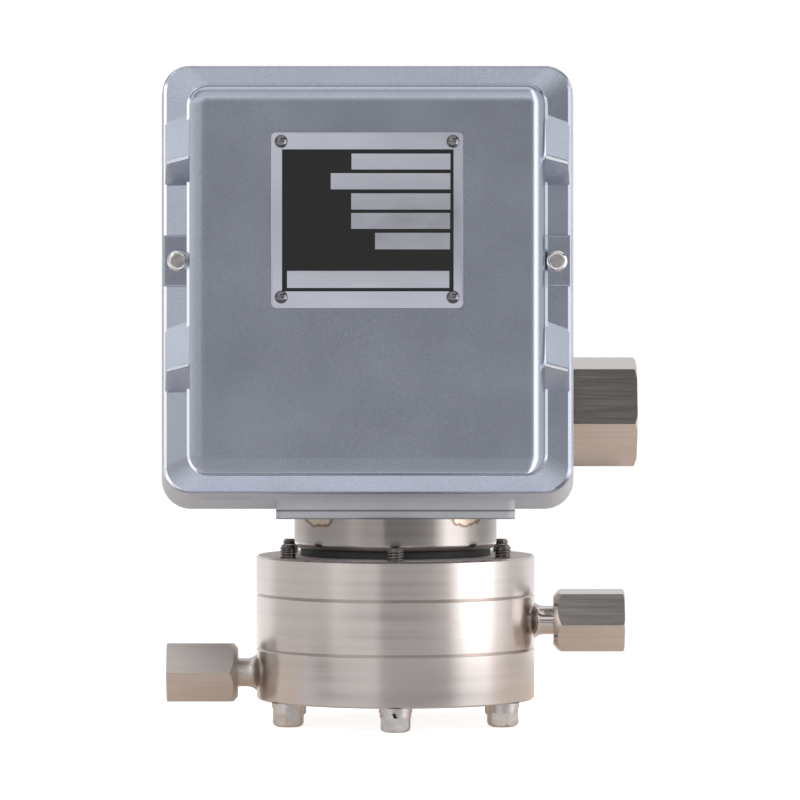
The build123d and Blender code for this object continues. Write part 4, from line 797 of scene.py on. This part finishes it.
# Where one part of the studio passes into the next, in degrees of height or round, with its brightness
LOW_WALL_HEAD = (-4.0, -2.4)
LOW_WALL_FOOT = (-3.7, -4.8)
LOW_WALL_FOOT_GAIN = 1.6
FRONT_LEFT = (-60, -50)
FRONT_RIGHT = (48, 36)
FRONT_VALUE = 1.15
CAMERA_REACH = (9, 13)
CAMERA_REACH_LEFT = 0.8
FRONT_FOOT = (-2.4, -1.0)
FRONT_BELOW = (-7.5, -11)
SLANT = 3.0
SLANT_ENDS = (10, 6)
CEILING_FROM = (46.5, 48)
CEILING_HEIGHTS = (52, 57)
CEILING_VALUES = (1.40, 0.98)
GAP_FOOT = (25, 31)
GAP_HEAD = (48, 46.5)
GAP_LEFT = (-32, -24)
GAP_RIGHT = (120, 100)
GAP_VALUE = 0.12
LAMP_DIRECTION = (-0.50, -0.64, 0.57)
LAMP_EDGE = (3.5, 2)
LAMP_VALUE = 9.0
BACKDROP_VALUE = 1.05


def make_world():
    """Studio walls all round, a dark gap above the camera, a bright ceiling and a lamp at the upper left."""
    world = bpy.data.worlds.new("studio")
    world.use_nodes = True
    tree = world.node_tree
    tree.nodes.clear()

    def node(kind, inputs=(), **settings):
        return add_node(tree, kind, inputs, settings)

    def compute(operation, *values):
        return node("ShaderNodeMath", list(enumerate(values)), operation=operation).outputs[0]

    def times(a, b):
        return compute("MULTIPLY", a, b)

    def step(value, start, end, low=0.0, high=1.0):
        inputs = [("Value", value), ("From Min", start), ("From Max", end), ("To Min", low), ("To Max", high)]
        return node("ShaderNodeMapRange", inputs, interpolation_type="SMOOTHSTEP").outputs[0]

    def mixed(factor, a, b):
        return node("ShaderNodeMix", [("Factor", factor), ("A", a), ("B", b)]).outputs[0]

    direction = node("ShaderNodeTexCoord").outputs["Generated"]
    x, y, z = node("ShaderNodeSeparateXYZ", [(0, direction)]).outputs
    around = compute("ARCTAN2", x, times(y, -1.0))
    degrees = times(around, 180 / math.pi)
    height = times(compute("ARCSINE", z), 180 / math.pi)
    turn = [("Value", degrees), ("From Min", -180.0), ("From Max", 180.0)]
    share = node("ShaderNodeMapRange", turn).outputs[0]

    def ring(stops):
        """Brightness round the studio, from stops of angle and value."""
        colours = node("ShaderNodeValToRGB", [("Fac", share)])
        ramp = colours.color_ramp
        for i, (angle, value) in enumerate(stops):
            place = (angle + 180) / 360
            stop = ramp.elements[i] if i in (0, 1) else ramp.elements.new(place)
            stop.position = place
            stop.color = (value / RAMP_TOP, value / RAMP_TOP, value / RAMP_TOP, 1)
        return times(colours.outputs[0], RAMP_TOP)

    low = ring(LOW_WALLS)
    low = mixed(step(height, *LOW_WALL_FOOT), low, times(low, LOW_WALL_FOOT_GAIN))
    walls = mixed(step(height, *LOW_WALL_HEAD), low, ring(WALLS))

    # Brighter front wall, except round the camera
    frontal = times(step(degrees, *FRONT_LEFT), step(degrees, *FRONT_RIGHT))
    leftward = times(compute("MINIMUM", degrees, 0.0), CAMERA_REACH_LEFT)
    reach = compute("SQRT", compute("ADD", times(leftward, leftward), times(height, height)))
    beyond = times(step(reach, *CAMERA_REACH), step(height, *FRONT_FOOT))
    beyond = compute("MAXIMUM", beyond, step(height, *FRONT_BELOW))
    lifted = mixed(times(frontal, beyond), walls, FRONT_VALUE)

    # Ceiling and the dark gap below it; their edge slants in front
    slant = times(times(degrees, SLANT), step(compute("ABSOLUTE", degrees), *SLANT_ENDS))
    rise = compute("SUBTRACT", height, slant)
    ceiling = mixed(step(rise, *CEILING_FROM), lifted, step(height, *CEILING_HEIGHTS, *CEILING_VALUES))
    gap = times(times(step(height, *GAP_FOOT), step(rise, *GAP_HEAD)),
                times(step(degrees, *GAP_LEFT), step(degrees, *GAP_RIGHT)))
    total = mixed(gap, ceiling, GAP_VALUE)

    # Lamp: a small round spot, with the cosines of its soft edge
    lamp = tuple(Vector(LAMP_DIRECTION).normalized())
    facing = node("ShaderNodeVectorMath", [(0, direction), (1, lamp)], operation="DOT_PRODUCT")
    spot = step(facing.outputs["Value"], *(math.cos(math.radians(angle)) for angle in LAMP_EDGE))
    total = mixed(spot, total, LAMP_VALUE)
    studio = node("ShaderNodeBackground", [("Color", total), ("Strength", 1.0)])
    white = node("ShaderNodeBackground", [("Color", (1, 1, 1, 1)), ("Strength", BACKDROP_VALUE)])
    path = node("ShaderNodeLightPath").outputs["Is Camera Ray"]
    mix = node("ShaderNodeMixShader", [(0, path), (1, studio.outputs[0]), (2, white.outputs[0])])
    node("ShaderNodeOutputWorld", [("Surface", mix.outputs[0])])
    bpy.context.scene.world = world


make_floor()
make_world()
bpy.context.scene.view_settings.view_transform = "Standard"
